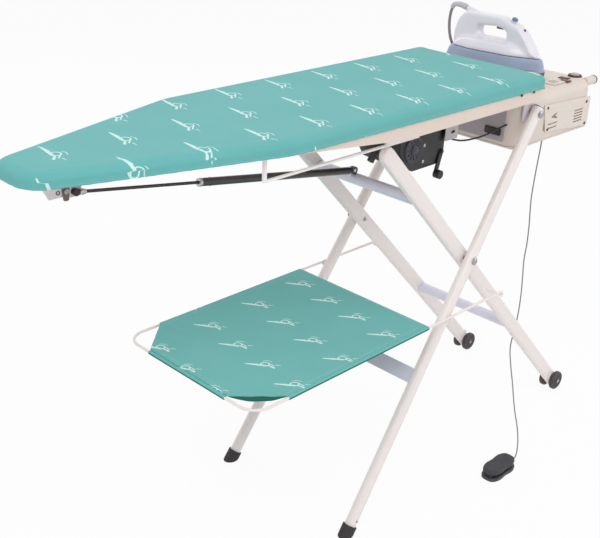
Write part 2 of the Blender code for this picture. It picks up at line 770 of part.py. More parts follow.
def make_fan():
    """Two-part fan box under the pan, its impeller, motor and flap lever."""
    seam = (fan_near_y + fan_far_y) / 2
    for name, outer, inner in (("near", fan_near_y, seam - gap / 2), ("far", fan_far_y, seam + gap / 2)):
        step = math.copysign(fan_wall, inner - outer)
        rows = [[(x, outer, z) for x, z in fan_outline(fan_wall)],
                [(x, outer + step, z) for x, z in fan_outline(0.0)],
                [(x, inner, z) for x, z in fan_outline(0.0)]]
        cover = lofted("fan_cover_" + name, rows, black_plastic, cap_end=False)
        thicken(cover, fan_wall)
        if name == "far":
            shaft_hole = rod("shaft_cut", (fan_axis_x, outer - 4 * fan_wall, fan_axis_z),
                             (fan_axis_x, outer + 2 * fan_wall, fan_axis_z), 2 * pin_radius, None, 16)
            combine(cover, as_cutter(shaft_hole))
        else:
            pivot = rod("flap_pivot", (fan_flap.x, outer + fan_wall / 2, fan_flap.y),
                        (fan_flap.x, outer - 2 * fan_flap_wall, fan_flap.y), pin_radius, None, 12)
            combine(cover, as_cutter(pivot), "UNION")

    blade_count, blade_radius, hub_radius, blade_half = 12, 0.046, 0.016, 0.0016
    blade_low, blade_high = -0.074, -0.034
    star = []
    for blade in range(blade_count):
        angle = math.tau * blade / blade_count
        out = Vector((math.cos(angle), math.sin(angle)))
        aside = rotate(out, math.pi / 2) * blade_half
        root = Vector((fan_axis_x, fan_axis_z)) + out * hub_radius
        tip = Vector((fan_axis_x, fan_axis_z)) + out * blade_radius
        star += [root - aside, tip - aside, tip + aside, root + aside]
    bore = ring((fan_axis_x, fan_axis_z), pin_radius + bore_clearance, 12)
    upright("impeller", [star, bore], blade_low, blade_high, black_plastic)

    motor_radius, motor_length = 0.032, 0.042
    motor = rod("fan_motor", (fan_axis_x, fan_far_y + gap, fan_axis_z),
                (fan_axis_x, fan_far_y + motor_length, fan_axis_z), motor_radius, bare_steel, 24)
    shaft = rod("shaft_guide", (fan_axis_x, blade_low - pin_radius, fan_axis_z),
                (fan_axis_x, fan_far_y + motor_length / 2, fan_axis_z), pin_radius, None, 12)
    combine(motor, as_cutter(shaft), "UNION")

    arm = Vector((-0.014, -0.046))
    half, knob_radius, knob_length = 0.006, 0.0095, 0.016
    across = rotate(arm.normalized(), math.pi / 2) * half
    pivot = fan_flap
    arc_steps = 6
    turns = [math.pi * step / arc_steps for step in range(arc_steps + 1)]
    outline = [pivot + rotate(across, turn) for turn in turns]
    outline += [pivot + arm + rotate(-across, turn) for turn in turns]
    hole = ring(pivot, pin_radius + bore_clearance, 12)
    outer = fan_near_y - gap
    lever = as_mesh(upright("flap_lever", [outline, hole], outer - fan_flap_wall, outer, black_plastic))
    knob = rod("knob_guide", (pivot.x + arm.x, outer - fan_flap_wall / 2, pivot.y + arm.y),
               (pivot.x + arm.x, outer - knob_length, pivot.y + arm.y), knob_radius, None, 16)
    combine(lever, as_cutter(knob), "UNION")


def make_housing():
    """Generator housing: shell open below, base plate, boiler, inlet, gland and rear grip."""
    corner_share, rocker_gap = 0.7, 0.0006

    def plan(inset):
        front, rear, half = housing_front_x + inset, housing_rear_x - inset, housing_half_width - inset
        radius = housing_radius - inset * corner_share
        return rounded([(front, -half, radius), (rear, -half, radius), (rear, half, radius),
                        (front, half, radius)], 3)

    rows = []
    steps = 3
    for step in range(steps + 1):
        angle = math.pi / 2 * step / steps
        height = housing_top - housing_radius * (1 - math.cos(angle))
        rows.append([(x, y, height) for x, y in plan(housing_radius * (1 - math.sin(angle)))])
    base_top = housing_bottom + housing_base_wall
    rows.append([(x, y, base_top + gap) for x, y in plan(0.0)])
    shell = lofted("housing_shell", rows, cream_plastic, cap_end=False)
    thicken(shell, housing_wall)
    room = rocker_half + Vector((rocker_gap, rocker_gap))
    for name, place in rocker_places:
        hole = block("rocker_cut", (*(Vector(place) - room), housing_top - 2 * housing_wall),
                     (*(Vector(place) + room), housing_top + overrun), None)
        combine(shell, as_cutter(hole))
    spindle = rod("spindle_cut", (*dial_place, housing_top - 2 * housing_wall),
                  (*dial_place, housing_top + overrun), pin_radius + bore_clearance, None, 16)
    combine(shell, as_cutter(spindle))
    base = slab("housing_base", [plan(0.0)], housing_bottom, base_top, cream_plastic)
    gland_bore = 0.0045
    base = as_mesh(base)
    combine(base, as_cutter(rod("gland_cut", (*cable_exit.xy, housing_bottom - overrun),
                                (*cable_exit.xy, base_top + overrun), gland_bore + gap, None, 16)))
    soften(shell)

    boiler_radius, boiler_end_share, boiler_shoulder_share, boiler_half = 0.042, 0.6, 0.8, 0.105
    boiler_x, boiler_z = 0.560, base_top + gap + boiler_radius
    profile = [(0.0, boiler_half), (boiler_radius * boiler_end_share, boiler_half),
               (boiler_radius, boiler_half * boiler_shoulder_share),
               (boiler_radius, -boiler_half * boiler_shoulder_share),
               (boiler_radius * boiler_end_share, -boiler_half), (0.0, -boiler_half)]
    turned("boiler", profile, (boiler_x, 0.0, boiler_z), (0, 1, 0), brass)

    gland_radius, gland_end_share = 0.008, 0.8
    gland_depth = housing_bottom - cable_exit.z
    turned("cable_gland", [(cable_diameter / 2 + gap, base_top), (gland_bore, base_top),
                           (gland_bore, housing_bottom - gap), (gland_radius, housing_bottom - gap),
                           (gland_radius * gland_end_share, housing_bottom - gland_depth / 2),
                           (cable_diameter, housing_bottom - gland_depth),
                           (cable_diameter / 2 + gap, housing_bottom - gland_depth)],
           (*cable_exit.xy, 0.0), (0, 0, 1), black_rubber, 16, closed=True)

    inlet_y, inlet_z, inlet_half, inlet_depth = 0.070, housing_bottom + 0.045, 0.014, 0.010
    block("mains_inlet", (housing_rear_x + gap, inlet_y - inlet_half, inlet_z - inlet_half),
          (housing_rear_x + inlet_depth, inlet_y + inlet_half, inlet_z + inlet_half),
          black_plastic, 0.002, 1)

    grip_y, grip_z, grip_radius = -0.118, housing_top - 0.0152, 0.0105
    grip_end = housing_rear_x + 0.0425
    rim_share = 0.25
    rim = grip_radius * rim_share
    profile = [(0.0, grip_end), (grip_radius - rim, grip_end), (grip_radius, grip_end - rim),
               (grip_radius, housing_rear_x + gap), (0.0, housing_rear_x + gap)]
    turned("rear_grip", profile, (0.0, grip_y, grip_z), (1, 0, 0), cream_plastic, 20)

    rocker_rise, rocker_depth = 0.0025, 0.007
    for name, place in rocker_places:
        block(name, (*(Vector(place) - rocker_half), housing_top - rocker_depth),
              (*(Vector(place) + rocker_half), housing_top + rocker_rise), trigger_red, 0.001, 1)
    dial_radius, dial_top_radius, dial_height, stem_depth = 0.016, 0.0136, 0.012, 0.014
    turned("dial", [(0.0, dial_height), (dial_top_radius, dial_height), (dial_radius, gap),
                    (pin_radius, gap), (pin_radius, -stem_depth), (0.0, -stem_depth)],
           (*dial_place, housing_top), (0, 0, 1), black_plastic, 24)

    rest_half_length, rest_half_width = 0.105, 0.040
    middle = iron_nose_y + iron_length / 2
    block("iron_rest", (iron_x - rest_half_width, middle - rest_half_length, housing_top + gap),
          (iron_x + rest_half_width, min(middle + rest_half_length, housing_half_width - housing_radius),
           iron_base_z - gap), grey_rubber, 0.004, 1)


def make_shelf():
    """Laundry shelf: a bent wire frame hooked over the inner legs' pins, with a cloth on it."""
    hook_steps, hook_turn, rod_share, chamfer_share = 6, math.radians(150), 0.9, 0.9
    hook = []
    for step in range(hook_steps + 1):
        angle = math.pi / 2 - hook_turn * (1 - step / hook_steps)
        hook.append((shelf_pin.x + shelf_hook_radius * math.cos(angle), shelf_half_width,
                     shelf_pin.y + shelf_hook_radius * math.sin(angle)))
    corners = rounded([(shelf_pin.x, -shelf_half_width, 0.0), (shelf_pin.x, shelf_half_width, 0.0),
                       (shelf_front_x, shelf_half_width, shelf_corner_radius),
                       (shelf_front_x, -shelf_half_width, shelf_corner_radius)], 6)[2:]
    front = [(x, y, shelf_z) for x, y in corners]
    other = [(x, -y, z) for x, y, z in reversed(hook)]
    frame = as_mesh(wire("shelf_frame", hook + front + other, shelf_wire_radius, white_paint))
    cross_x = shelf_cloth_rear_x - 2 * shelf_wire_radius
    cross = rod("cross_guide", (cross_x, -shelf_half_width, shelf_z), (cross_x, shelf_half_width, shelf_z),
                shelf_wire_radius * rod_share, None, 8)
    combine(frame, as_cutter(cross), "UNION")

    low = shelf_z + shelf_wire_radius + gap
    front_x, half = shelf_front_x + shelf_wire_radius, shelf_half_width
    inner = half - shelf_chamfer * chamfer_share
    outline = [(shelf_cloth_rear_x, -half), (shelf_cloth_rear_x, half), (front_x + shelf_chamfer, half),
               (front_x, inner), (front_x, -inner), (front_x + shelf_chamfer, -half)]
    slab("shelf_cloth", [outline], low, low + shelf_cloth_thickness, teal_cloth)


def iron_plan(scale, height):
    """Plan of the iron at a height above its sole, scaled about its middle."""
    heel, half = iron_nose_y + iron_length, iron_width / 2
    heel_share, mid_share, shoulder_at, mid_at = 0.78, 0.80, 0.27, 0.68
    heel_radius, shoulder_radius, mid_radius, nose_radius = 0.020, 0.070, 0.110, 0.010
    side = [(half * heel_share, heel, heel_radius),
            (half, heel - iron_length * shoulder_at, shoulder_radius),
            (half * mid_share, heel - iron_length * mid_at, mid_radius)]
    corners = [(-x, y, r) for x, y, r in side] + [(0.0, iron_nose_y, nose_radius)] + list(reversed(side))
    middle = iron_nose_y + iron_length / 2
    return [(iron_x + x * scale, middle + (y - middle) * scale, iron_base_z + height)
            for x, y in rounded(corners, 3)]


def make_iron():
    """Steam iron on its rest: base, body with handle, trigger and hose relief."""
    base_rows = ((0.0, 0.98), (0.004, 1.0), (0.021, 0.96), (iron_base_height, 0.92))
    soften(lofted("iron_base", [iron_plan(scale, up) for up, scale in base_rows], iron_blue))

    low = iron_base_height + gap
    body_rows = ((low, 0.90), (low + 0.010, 0.86), (low + 0.020, 0.76), (low + 0.0255, 0.62))
    body = lofted("iron_body", [iron_plan(scale, up) for up, scale in body_rows], iron_white)
    top = iron_base_z + iron_height
    foot = iron_base_z + low + 0.004
    outline = rounded([(0.160, foot, 0.0), (0.160, top - 0.052, 0.030), (0.151, top - 0.022, 0.020),
                       (0.132, top - 0.001, 0.020), (0.030, top, 0.050), (-0.028, top - 0.020, 0.050),
                       (-0.074, foot, 0.0)], 3)
    wide, round_share, tight_share, slant_share = handle_opening, 0.32, 0.20, 0.15
    opening = rounded([(handle_rear_y, handle_top - slant_share * wide, round_share * wide),
                       (handle_rear_y, handle_low + slant_share * wide, tight_share * wide),
                       (handle_rear_y - tight_share * 2 * wide, handle_low, round_share * wide),
                       (handle_front_y, handle_low, round_share * wide),
                       (handle_front_y, handle_top - tight_share * wide, round_share * wide),
                       (handle_front_y + wide, handle_top, wide)], 3)
    handle_width, handle_edge = 0.036, 0.006
    handle = slab("handle_guide", [outline, opening], 0.0, handle_width, None, handle_edge)
    handle.location = (iron_x, 0.0, 0.0)
    handle.rotation_euler = (math.pi / 2, 0.0, math.pi / 2)
    combine(body, as_cutter(as_mesh(handle)), "UNION")
    boss_start, boss_end = Vector((0.105, top - 0.0035)), Vector((0.1395, top + 0.0042))
    relief_radius = 0.0065
    boss = rod("boss_guide", (iron_x, *boss_start), (iron_x, *boss_end), relief_radius, None, 16)
    combine(body, as_cutter(boss), "UNION")
    trigger_half, trigger_depth, trigger_edge = Vector((0.005, 0.010)), 0.007, 0.0015
    low_corner = (iron_x - trigger_half.x, trigger_y - trigger_half.y, handle_top - trigger_depth)
    high_corner = (iron_x + trigger_half.x, trigger_y + trigger_half.y, handle_top + gap)
    block("iron_trigger", low_corner, high_corner, trigger_red, trigger_edge, 1)
    room = Vector((gap, gap, 0.0))
    pocket = block("trigger_cut", Vector(low_corner) - room,
                   Vector(high_corner) + room + Vector((0.0, 0.0, trigger_travel + gap)), None)
    combine(body, as_cutter(pocket))
    soften(body)

    way = (boss_end - boss_start).normalized()
    start = boss_end + way * gap
    bend = [(0.160, top + 0.0080), (0.172, top + 0.0075), (0.1795, top + 0.0035), (0.182, top - 0.0035)]
    route = smooth_route([(iron_x, y, z) for y, z in [start, start + way * 0.010] + bend], 0.006)
    shape = wire("strain_relief", route, relief_radius, iron_white, 2)
    end_share = 0.64
    for index, point in enumerate(shape.data.splines[0].points):
        point.radius = 1.0 - (1.0 - end_share) * index / (len(route) - 1)


def make_hose():
    """Steam hose: down behind the heel to a two-layer coil on the deck, ending in its fitting."""
    loop_gap, turn_points, half_turn = 0.0007, 24, 0.5
    start_angle = math.radians(150)
    pitch = hose_diameter + loop_gap
    outer = coil_mean_radius + hose_turns_down * pitch / 2
    inner = outer - hose_turns_down * pitch
    low = housing_top + gap + hose_diameter / 2
    coil = []
    for index in range(round((hose_turns_down + half_turn + hose_turns_back) * turn_points) + 1):
        turn = index / turn_points
        drop = min(max((turn - hose_turns_down) / half_turn, 0.0), 1.0)
        radius = inner + pitch * (abs(turn - hose_turns_down - half_turn / 2) - half_turn / 2)
        height = low + pitch * (1 + math.cos(math.pi * drop)) / 2
        angle = start_angle + math.tau * turn
        coil.append(Vector((coil_x + radius * math.cos(angle), coil_y + radius * math.sin(angle), height)))
    lead_in = (coil[0] - coil[1]).normalized()
    lead_out = (coil[-1] - coil[-2]).normalized()
    straight = 3 * hose_diameter
    coil = [coil[0] + lead_in * hose_diameter] + coil + [coil[-1] + lead_out * straight]
    wire("hose_coil", coil, hose_diameter / 2, grey_rubber, 1)
    least = min((here - there).length for index, here in enumerate(coil)
                for there in coil[index + turn_points // 2:])
    print("least gap in the hose coil: %.4f mm" % ((least - hose_diameter) * 1000))

    last = coil[0] + lead_in * gap
    fall = [(0.0, 0.1822, 0.1079), (0.0, 0.1842, 0.1020), (0.0002, 0.1864, 0.0920),
            (0.0015, 0.1882, 0.0750), (0.0040, 0.1880, 0.0550), (0.0085, 0.1858, 0.0350),
            (0.0160, 0.1815, 0.0170), (0.0275, 0.1755, 0.0040), (0.0420, 0.1675, -0.0045),
            (0.0560, 0.1565, -0.0090), (0.0655, 0.1430, -0.0108)]
    route = [(iron_x + aside, y, iron_base_z + up) for aside, y, up in fall]
    route += [tuple(last + lead_in * hose_diameter * 2), tuple(last + lead_in * hose_diameter), tuple(last)]
    wire("iron_hose", smooth_route(route, 0.012), hose_diameter / 2, grey_rubber, 2)

    boss_radius, boss_height, boss_edge = 0.0075, 0.0074, 0.0015
    centre = coil[-1] + lead_out * (gap + boss_radius)
    turned("hose_fitting", [(0.0, boss_height), (boss_radius - boss_edge, boss_height),
                            (boss_radius, boss_height - boss_edge), (boss_radius, 0.0), (0.0, 0.0)],
           (centre.x, centre.y, housing_top + gap), (0, 0, 1), brass, 16)


def pedal_plan(inset):
    """Waisted plan of the foot switch."""
    waist_share, waist_span, fullness, steps = 0.16, 3.0, 0.6, 28
    turns = [math.tau * step / steps for step in range(steps)]
    waist = [1 - waist_share * math.exp(-(math.cos(turn) * waist_span) ** 2) for turn in turns]
    shares = [abs(math.sin(turn)) ** fullness * narrow for turn, narrow in zip(turns, waist)]
    widest = max(shares)
    return [(pedal_x + (pedal_length / 2 - inset) * math.cos(turn),
             pedal_y + math.copysign((pedal_width / 2 - inset) * share / widest, math.sin(turn)))
            for turn, share in zip(turns, shares)]


def make_pedal():
    """Foot switch on the floor: base, hinged treadle and its thin cable up to the gland."""
    base_height, base_edge, treadle_edge, treadle_inset, lug_half = 0.009, 0.002, 0.004, 0.0015, 0.004
    base = as_mesh(slab("pedal_base", [pedal_plan(0.0)], 0.0, base_height, black_plastic, base_edge))
    lug = block("lug_guide", (treadle_hinge_x - lug_half, pedal_y - 2 * lug_half, base_height / 2),
                (treadle_hinge_x + lug_half, pedal_y + 2 * lug_half, treadle_low - gap), None)
    combine(base, as_cutter(lug), "UNION")
    slab("pedal_treadle", [pedal_plan(treadle_inset)], treadle_low, pedal_height, black_rubber,
         treadle_edge)

    entry = Vector((pedal_x + pedal_length / 2 + gap, pedal_y, base_height / 2))
    route = [(*cable_exit.xy, housing_bottom), (*cable_exit.xy, cable_exit.z - 0.012),
             (0.5400, -0.1260, 0.690), (0.5310, -0.1285, 0.640), (0.5280, -0.1295, 0.590),
             (0.5345, -0.1300, 0.525), (0.5365, -0.1300, 0.477), (0.5335, -0.1300, 0.435),
             (0.5380, -0.1300, 0.390), (0.5425, -0.1300, 0.345), (0.5440, -0.1295, 0.300),
             (0.5415, -0.1290, 0.262), (0.5290, -0.1310, 0.222), (0.5060, -0.1430, 0.198),
             (0.4810, -0.1650, 0.174), (0.4600, -0.1900, 0.138), (0.4420, -0.2100, 0.108),
             (0.4300, -0.2260, 0.082), (0.4250, -0.2380, 0.058), (0.4180, -0.2490, 0.036),
             (0.4020, -0.2620, 0.0180), (0.3780, -0.2750, 0.0070)]
    route += [(entry.x + 4 * cable_diameter, entry.y, entry.z), tuple(entry)]
    wire("pedal_cable", smooth_route(route, 0.0115), cable_diameter / 2, grey_rubber, 2)


def make_fan_lead():
    """Lead from the fan to the generator, plugged in at both ends."""
    lead_radius = 0.002
    hang_down = [(fan_right_x + gap, -0.062, 0.003), (0.225, -0.063, 0.0045), (0.250, -0.068, 0.017),
                 (0.290, -0.080, 0.028), (0.335, -0.100, 0.022), (0.375, -0.113, 0.009),
                 (0.390, -0.116, 0.005), (housing_front_x - gap, -0.116, 0.005)]
    route = [(x, y, fan_axis_z - down) for x, y, down in hang_down]
    wire("fan_lead", smooth_route(route, 0.010), lead_radius, black_rubber, 2)


def pivot(name, place, children, parent):
    """An empty on a joint's axis that carries the pieces which turn or slide there."""
    empty = bpy.data.objects.new(name, None)
    table.objects.link(empty)
    empty.location = place
    if parent:
        hang(empty, parent)
    for child in children:
        hang(bpy.data.objects[child], empty)
    return empty


def hang(child, parent):
    """Parent one object to another without moving it."""
    bpy.context.view_layer.update()
    place = child.matrix_world.copy()
    child.parent = parent
    child.matrix_parent_inverse = parent.matrix_world.inverted()
    bpy.context.view_layer.update()
    child.matrix_world = place


make_board()
for side_name, side_sign in (("near", -1), ("far", 1)):
    make_fixings(side_name, side_sign)
    make_round_leg(side_name, side_sign)
    make_flat_leg(side_name, side_sign)
    make_axle(side_name, side_sign)
make_brace()
make_flat_frame()
make_strut()
make_nose()
make_fan()
make_fan_lead()
make_housing()
make_shelf()
make_iron()
make_hose()
make_pedal()

round_legs = pivot("round_legs_pivot", (top_pivot.x, 0.0, top_pivot.y),
                   ("round_leg_near", "round_leg_far", "foot_near", "foot_far", "leg_brace",
                    "scissor_pin_near", "scissor_pin_far"), None)
flat_legs = pivot("flat_legs_pivot", (scissor.x, 0.0, scissor.y),
                  ("flat_leg_near", "flat_leg_far", "upper_cross_tube", "lower_cross_tube",
                   "wheel_axle_near", "wheel_axle_far"), round_legs)
for side_name in ("near", "far"):
    pivot("wheels_pivot_" + side_name, (wheel_centre.x, 0.0, wheel_centre.y),
          ("wheel_" + side_name + "_inner", "wheel_" + side_name + "_outer"), flat_legs)
strut = pivot("strut_pivot", (strut_eye.x, strut_y, strut_eye.y), ("strut_body",), flat_legs)
pivot("strut_slide", (strut_stud.x, strut_y, strut_stud.y), ("strut_rod",), strut)
pivot("shelf_pivot", (shelf_pin.x, 0.0, shelf_pin.y), ("shelf_frame", "shelf_cloth"), flat_legs)
pivot("iron_lift", (iron_x, iron_nose_y + iron_length / 2, iron_base_z),
      ("iron_base", "iron_body", "iron_trigger", "strain_relief"), None)
pivot("impeller_pivot", (fan_axis_x, fan_near_y, fan_axis_z), ("impeller",), None)
pivot("fan_flap_pivot", (fan_flap.x, fan_near_y, fan_flap.y), ("flap_lever",), None)
pivot("latch_pivot", (latch.x, 0.0, latch.y), ("nose_latch",), None)
pivot("release_pivot", (release.x, 0.0, release.y), ("release_lever",), None)
pivot("treadle_pivot", (treadle_hinge_x, pedal_y, treadle_low), ("pedal_treadle",), None)
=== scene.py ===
"""Looks of a folding vacuum ironing table with its steam generator, iron and laundry shelf.

Metres, +Z up, the nose of the board towards -X and the generator at +X.
"""
import math

import bmesh
import bpy
from mathutils import Matrix, Vector, noise


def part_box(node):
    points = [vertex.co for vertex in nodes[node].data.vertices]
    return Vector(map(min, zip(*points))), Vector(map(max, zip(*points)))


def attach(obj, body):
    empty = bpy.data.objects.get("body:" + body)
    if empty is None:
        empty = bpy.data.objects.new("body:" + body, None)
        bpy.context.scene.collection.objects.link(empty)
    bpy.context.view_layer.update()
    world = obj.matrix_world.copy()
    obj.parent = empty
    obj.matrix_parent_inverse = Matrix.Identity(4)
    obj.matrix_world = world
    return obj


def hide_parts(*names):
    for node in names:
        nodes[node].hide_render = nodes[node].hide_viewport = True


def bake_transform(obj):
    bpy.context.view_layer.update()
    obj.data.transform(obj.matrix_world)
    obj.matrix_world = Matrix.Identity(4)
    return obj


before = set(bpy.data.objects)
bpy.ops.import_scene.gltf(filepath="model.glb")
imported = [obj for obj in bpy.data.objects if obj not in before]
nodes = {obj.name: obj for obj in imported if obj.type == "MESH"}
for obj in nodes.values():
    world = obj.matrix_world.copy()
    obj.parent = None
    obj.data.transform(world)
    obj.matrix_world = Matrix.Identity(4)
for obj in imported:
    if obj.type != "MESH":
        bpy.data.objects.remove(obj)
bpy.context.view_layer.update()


# ---------------------------------------------------------------------------------------------------
# Camera: seen from the near side of the nose, a little above the board, through a slightly long
# lens and held a little off level.
# ---------------------------------------------------------------------------------------------------
def linked(name, data):
    """A new object in the scene that holds some data."""
    made = bpy.data.objects.new(name, data)
    bpy.context.scene.collection.objects.link(made)
    return made


camera_place = (-1.4566, -1.2947, 1.4184)
bearing, rise, tilt = math.radians(-45.88), math.radians(24.75), math.radians(2.23)
back = Vector((math.sin(bearing) * math.cos(rise), -math.cos(bearing) * math.cos(rise), math.sin(rise)))
level = Vector((math.cos(bearing), math.sin(bearing), 0.0))
upward = back.cross(level)
camera = linked("camera", bpy.data.cameras.new("camera"))
turned_axes = (level * math.cos(tilt) + upward * math.sin(tilt),
               upward * math.cos(tilt) - level * math.sin(tilt), back)
camera.matrix_world = Matrix.Translation(camera_place) @ Matrix(turned_axes).transposed().to_4x4()
camera.data.lens = 59.69
bpy.context.scene.camera = camera
bpy.context.scene.view_settings.view_transform = "Standard"


# ---------------------------------------------------------------------------------------------------
# Floor and lamps: a plain pale floor that keeps a faint shadow, a white surround, and soft studio
# light from above the camera's left with a weaker one from the right.
# ---------------------------------------------------------------------------------------------------
class Wire:
    """A socket in a node tree. Sums on it add Math nodes, and node() adds any other node."""

    def __init__(self, tree, socket=None):
        self.tree, self.socket = tree, socket

    def node(self, kind, settings=None, inputs=None, out=0):
        """Add a node: its settings first, then what its sockets hold or are linked to."""
        made = self.tree.nodes.new(kind)
        for name, value in (settings or {}).items():
            if name == "stops":
                stops = made.color_ramp.elements
                while len(stops) < len(value):
                    stops.new(0.5)
                for stop, (place, shade) in zip(stops, value):
                    stop.position, stop.color = place, shade
            else:
                setattr(made, name, value)
        for name, value in (inputs or {}).items():
            for one in value if isinstance(value, list) else [value]:
                if isinstance(one, Wire):
                    self.tree.links.new(one.socket, made.inputs[name])
                else:
                    made.inputs[name].default_value = one
        return Wire(self.tree, made.outputs[out] if len(made.outputs) else None)

    def __getitem__(self, out):
        return Wire(self.tree, self.socket.node.outputs[out])

    def maths(self, operation, first, second=0.0):
        return self.node("ShaderNodeMath", {"operation": operation}, {0: first, 1: second})

    def __add__(self, other):
        return self.maths("ADD", self, other)

    def __sub__(self, other):
        return self.maths("SUBTRACT", self, other)

    def __rsub__(self, other):
        return self.maths("SUBTRACT", other, self)

    def __mul__(self, other):
        return self.maths("MULTIPLY", self, other)

    def __pow__(self, other):
        return self.maths("POWER", self, other)

    def __abs__(self):
        return self.maths("ABSOLUTE", self)

    __radd__, __rmul__ = __add__, __mul__


def shade(code):
    """A colour written as six hex digits, as the linear light that a shader takes."""
    parts = [int(code[at:at + 2], 16) / 255 for at in (0, 2, 4)]
    return tuple(p / 12.92 if p <= 0.04045 else ((p + 0.055) / 1.055) ** 2.4 for p in parts) + (1.0,)


def clamped(value):
    """A value held between 0 and 1."""
    return value.node("ShaderNodeClamp", None, {"Value": value})


def seen_directly(start):
    """1 for what the camera, a gloss or a clear part sees, and 0 for the light on the object."""
    path = start.node("ShaderNodeLightPath", out="Is Camera Ray")
    return clamped(path + path["Is Glossy Ray"] + path["Is Transmission Ray"])


def emptied(holder):
    """Where the node tree of the world or a material starts, once it is emptied."""
    holder.use_nodes = True
    holder.node_tree.nodes.clear()
    return Wire(holder.node_tree)


full_white, surround_strength = (1.0, 1.0, 1.0, 1.0), 0.62
world = bpy.data.worlds.new("surround")
bpy.context.scene.world = world
start = emptied(world)
lighting = start.node("ShaderNodeBackground", None, {"Color": full_white, "Strength": surround_strength})
white = start.node("ShaderNodeBackground", None, {"Color": full_white, "Strength": 1.0})
both = start.node("ShaderNodeMixShader", None, {0: seen_directly(start), 1: lighting, 2: white})
start.node("ShaderNodeOutputWorld", None, {"Surface": both})

floor_material = bpy.data.materials.new("studio_floor")
start = emptied(floor_material)
matt = start.node("ShaderNodeBsdfDiffuse", None, {"Color": (0.9, 0.9, 0.9, 1.0)})
glow = start.node("ShaderNodeEmission", None, {"Color": full_white, "Strength": 1.0})
glow_share = 0.92
both = start.node("ShaderNodeMixShader", None, {0: seen_directly(start) * glow_share, 1: matt, 2: glow})
start.node("ShaderNodeOutputMaterial", None, {"Surface": both})

floor_reach = 30.0
floor_corners = [(x * floor_reach, y * floor_reach, 0.0) for x, y in ((-1, -1), (1, -1), (1, 1), (-1, 1))]
floor_mesh = bpy.data.meshes.new("studio_floor")
floor_mesh.from_pydata(floor_corners, [], [(0, 1, 2, 3)])
floor_mesh.materials.append(floor_material)
floor = linked("studio_floor", floor_mesh)

lamp_aim = Vector((0.0, 0.0, 0.5))
for name, place, size, power in (("key_lamp", (-2.2, -1.6, 3.6), 2.6, 62.0),
                                 ("fill_lamp", (2.4, -2.6, 2.2), 2.4, 26.0),
                                 ("far_lamp", (1.2, 3.0, 2.8), 2.2, 20.0)):
    lamp = linked(name, bpy.data.lights.new(name, "AREA"))
    lamp.data.size, lamp.data.energy = size, power
    lamp.location = place
    lamp.rotation_euler = (Vector(place) - lamp_aim).to_track_quat("Z", "Y").to_euler()


# ---------------------------------------------------------------------------------------------------
# Cords: the steam hose in its grey braid, the foot switch's thin grey cable and the fan's black lead.
# Each is one length that leaves its gland, hangs or lies under its own weight and ends in its fitting.
# ---------------------------------------------------------------------------------------------------
def smooth_route(points, spacing):
    """Evenly spaced points along a smooth curve through the given ones."""
    guide = [Vector(p) for p in points]
    ends = [guide[0] * 2 - guide[1]] + guide + [guide[-1] * 2 - guide[-2]]
    fine = []
    samples = 24
    for a, b, c, d in zip(ends, ends[1:], ends[2:], ends[3:]):
        for step in range(samples):
            t = step / samples
            fine.append(0.5 * ((2 * b) + (c - a) * t + (2 * a - 5 * b + 4 * c - d) * t * t
                               + (3 * b - a - 3 * c + d) * t * t * t))
    fine.append(guide[-1])
    total = sum((q - p).length for p, q in zip(fine, fine[1:]))
    count = max(2, round(total / spacing))
    route, run, wanted = [fine[0]], 0.0, total / count
    for p, q in zip(fine, fine[1:]):
        step = (q - p).length
        while run + step >= wanted and len(route) < count:
            route.append(p.lerp(q, (wanted - run) / step))
            wanted += total / count
        run += step
    route.append(fine[-1])
    return route


def run_of(route):
    """Length along a list of points."""
    return sum((q - p).length for p, q in zip(route, route[1:]))


def piece_of(name, mesh, material, smooth=True):
    """An object at the origin that holds a mesh and its material."""
    if smooth:
        mesh.shade_smooth()
    mesh.materials.clear()
    mesh.materials.append(material)
    return linked(name, mesh)


def mesh_of(name, work):
    """A mesh of this name from a work mesh, which is let go."""
    mesh = bpy.data.meshes.new(name)
    work.to_mesh(mesh)
    work.free()
    return mesh


def tube(name, route, radius, material, sides=12, taper=None):
    """A closed round tube along a route, with a UV map in metres round and along it."""
    work = bmesh.new()
    layer = work.loops.layers.uv.new("cut")
    side_way = (route[1] - route[0]).orthogonal().normalized()
    rows, runs, run = [], [], 0.0
    for index, point in enumerate(route):
        before, after = route[max(index - 1, 0)], route[min(index + 1, len(route) - 1)]
        way = (after - before).normalized()
        side_way = (side_way - way * side_way.dot(way)).normalized()
        other_way = way.cross(side_way)
        run += (point - route[max(index - 1, 0)]).length
        here = radius * (taper(index / (len(route) - 1)) if taper else 1.0)
        rows.append([work.verts.new(point + (side_way * math.cos(a) + other_way * math.sin(a)) * here)
                     for a in (math.tau * side / sides for side in range(sides))])
        runs.append(run)
    around = math.tau * radius
    for index in range(len(rows) - 1):
        for side in range(sides):
            after = (side + 1) % sides
            face = work.faces.new((rows[index][side], rows[index][after], rows[index + 1][after],
                                   rows[index + 1][side]))
            corners = ((side, index), (side + 1, index), (side + 1, index + 1), (side, index + 1))
            for loop, (share, at) in zip(face.loops, corners):
                loop[layer].uv = (share / sides * around, runs[at])
    work.faces.new(list(reversed(rows[0])))
    work.faces.new(rows[-1])
    bmesh.ops.recalc_face_normals(work, faces=work.faces)
    return piece_of(name, mesh_of(name, work), material)


def principled(name, inputs, finish):
    """A material whose Principled shader takes these inputs; finish(start) makes those that vary."""
    material = bpy.data.materials.new(name)
    start = emptied(material)
    surface = start.node("ShaderNodeBsdfPrincipled", None, {**inputs, **finish(start)})
    start.node("ShaderNodeOutputMaterial", None, {"Surface": surface})
    return material


def mixed(start, share, first, second):
    """A colour between two, by a share from 0 to 1."""
    return start.node("ShaderNodeMix", {"data_type": "RGBA"}, {0: share, 6: first, 7: second}, 2)


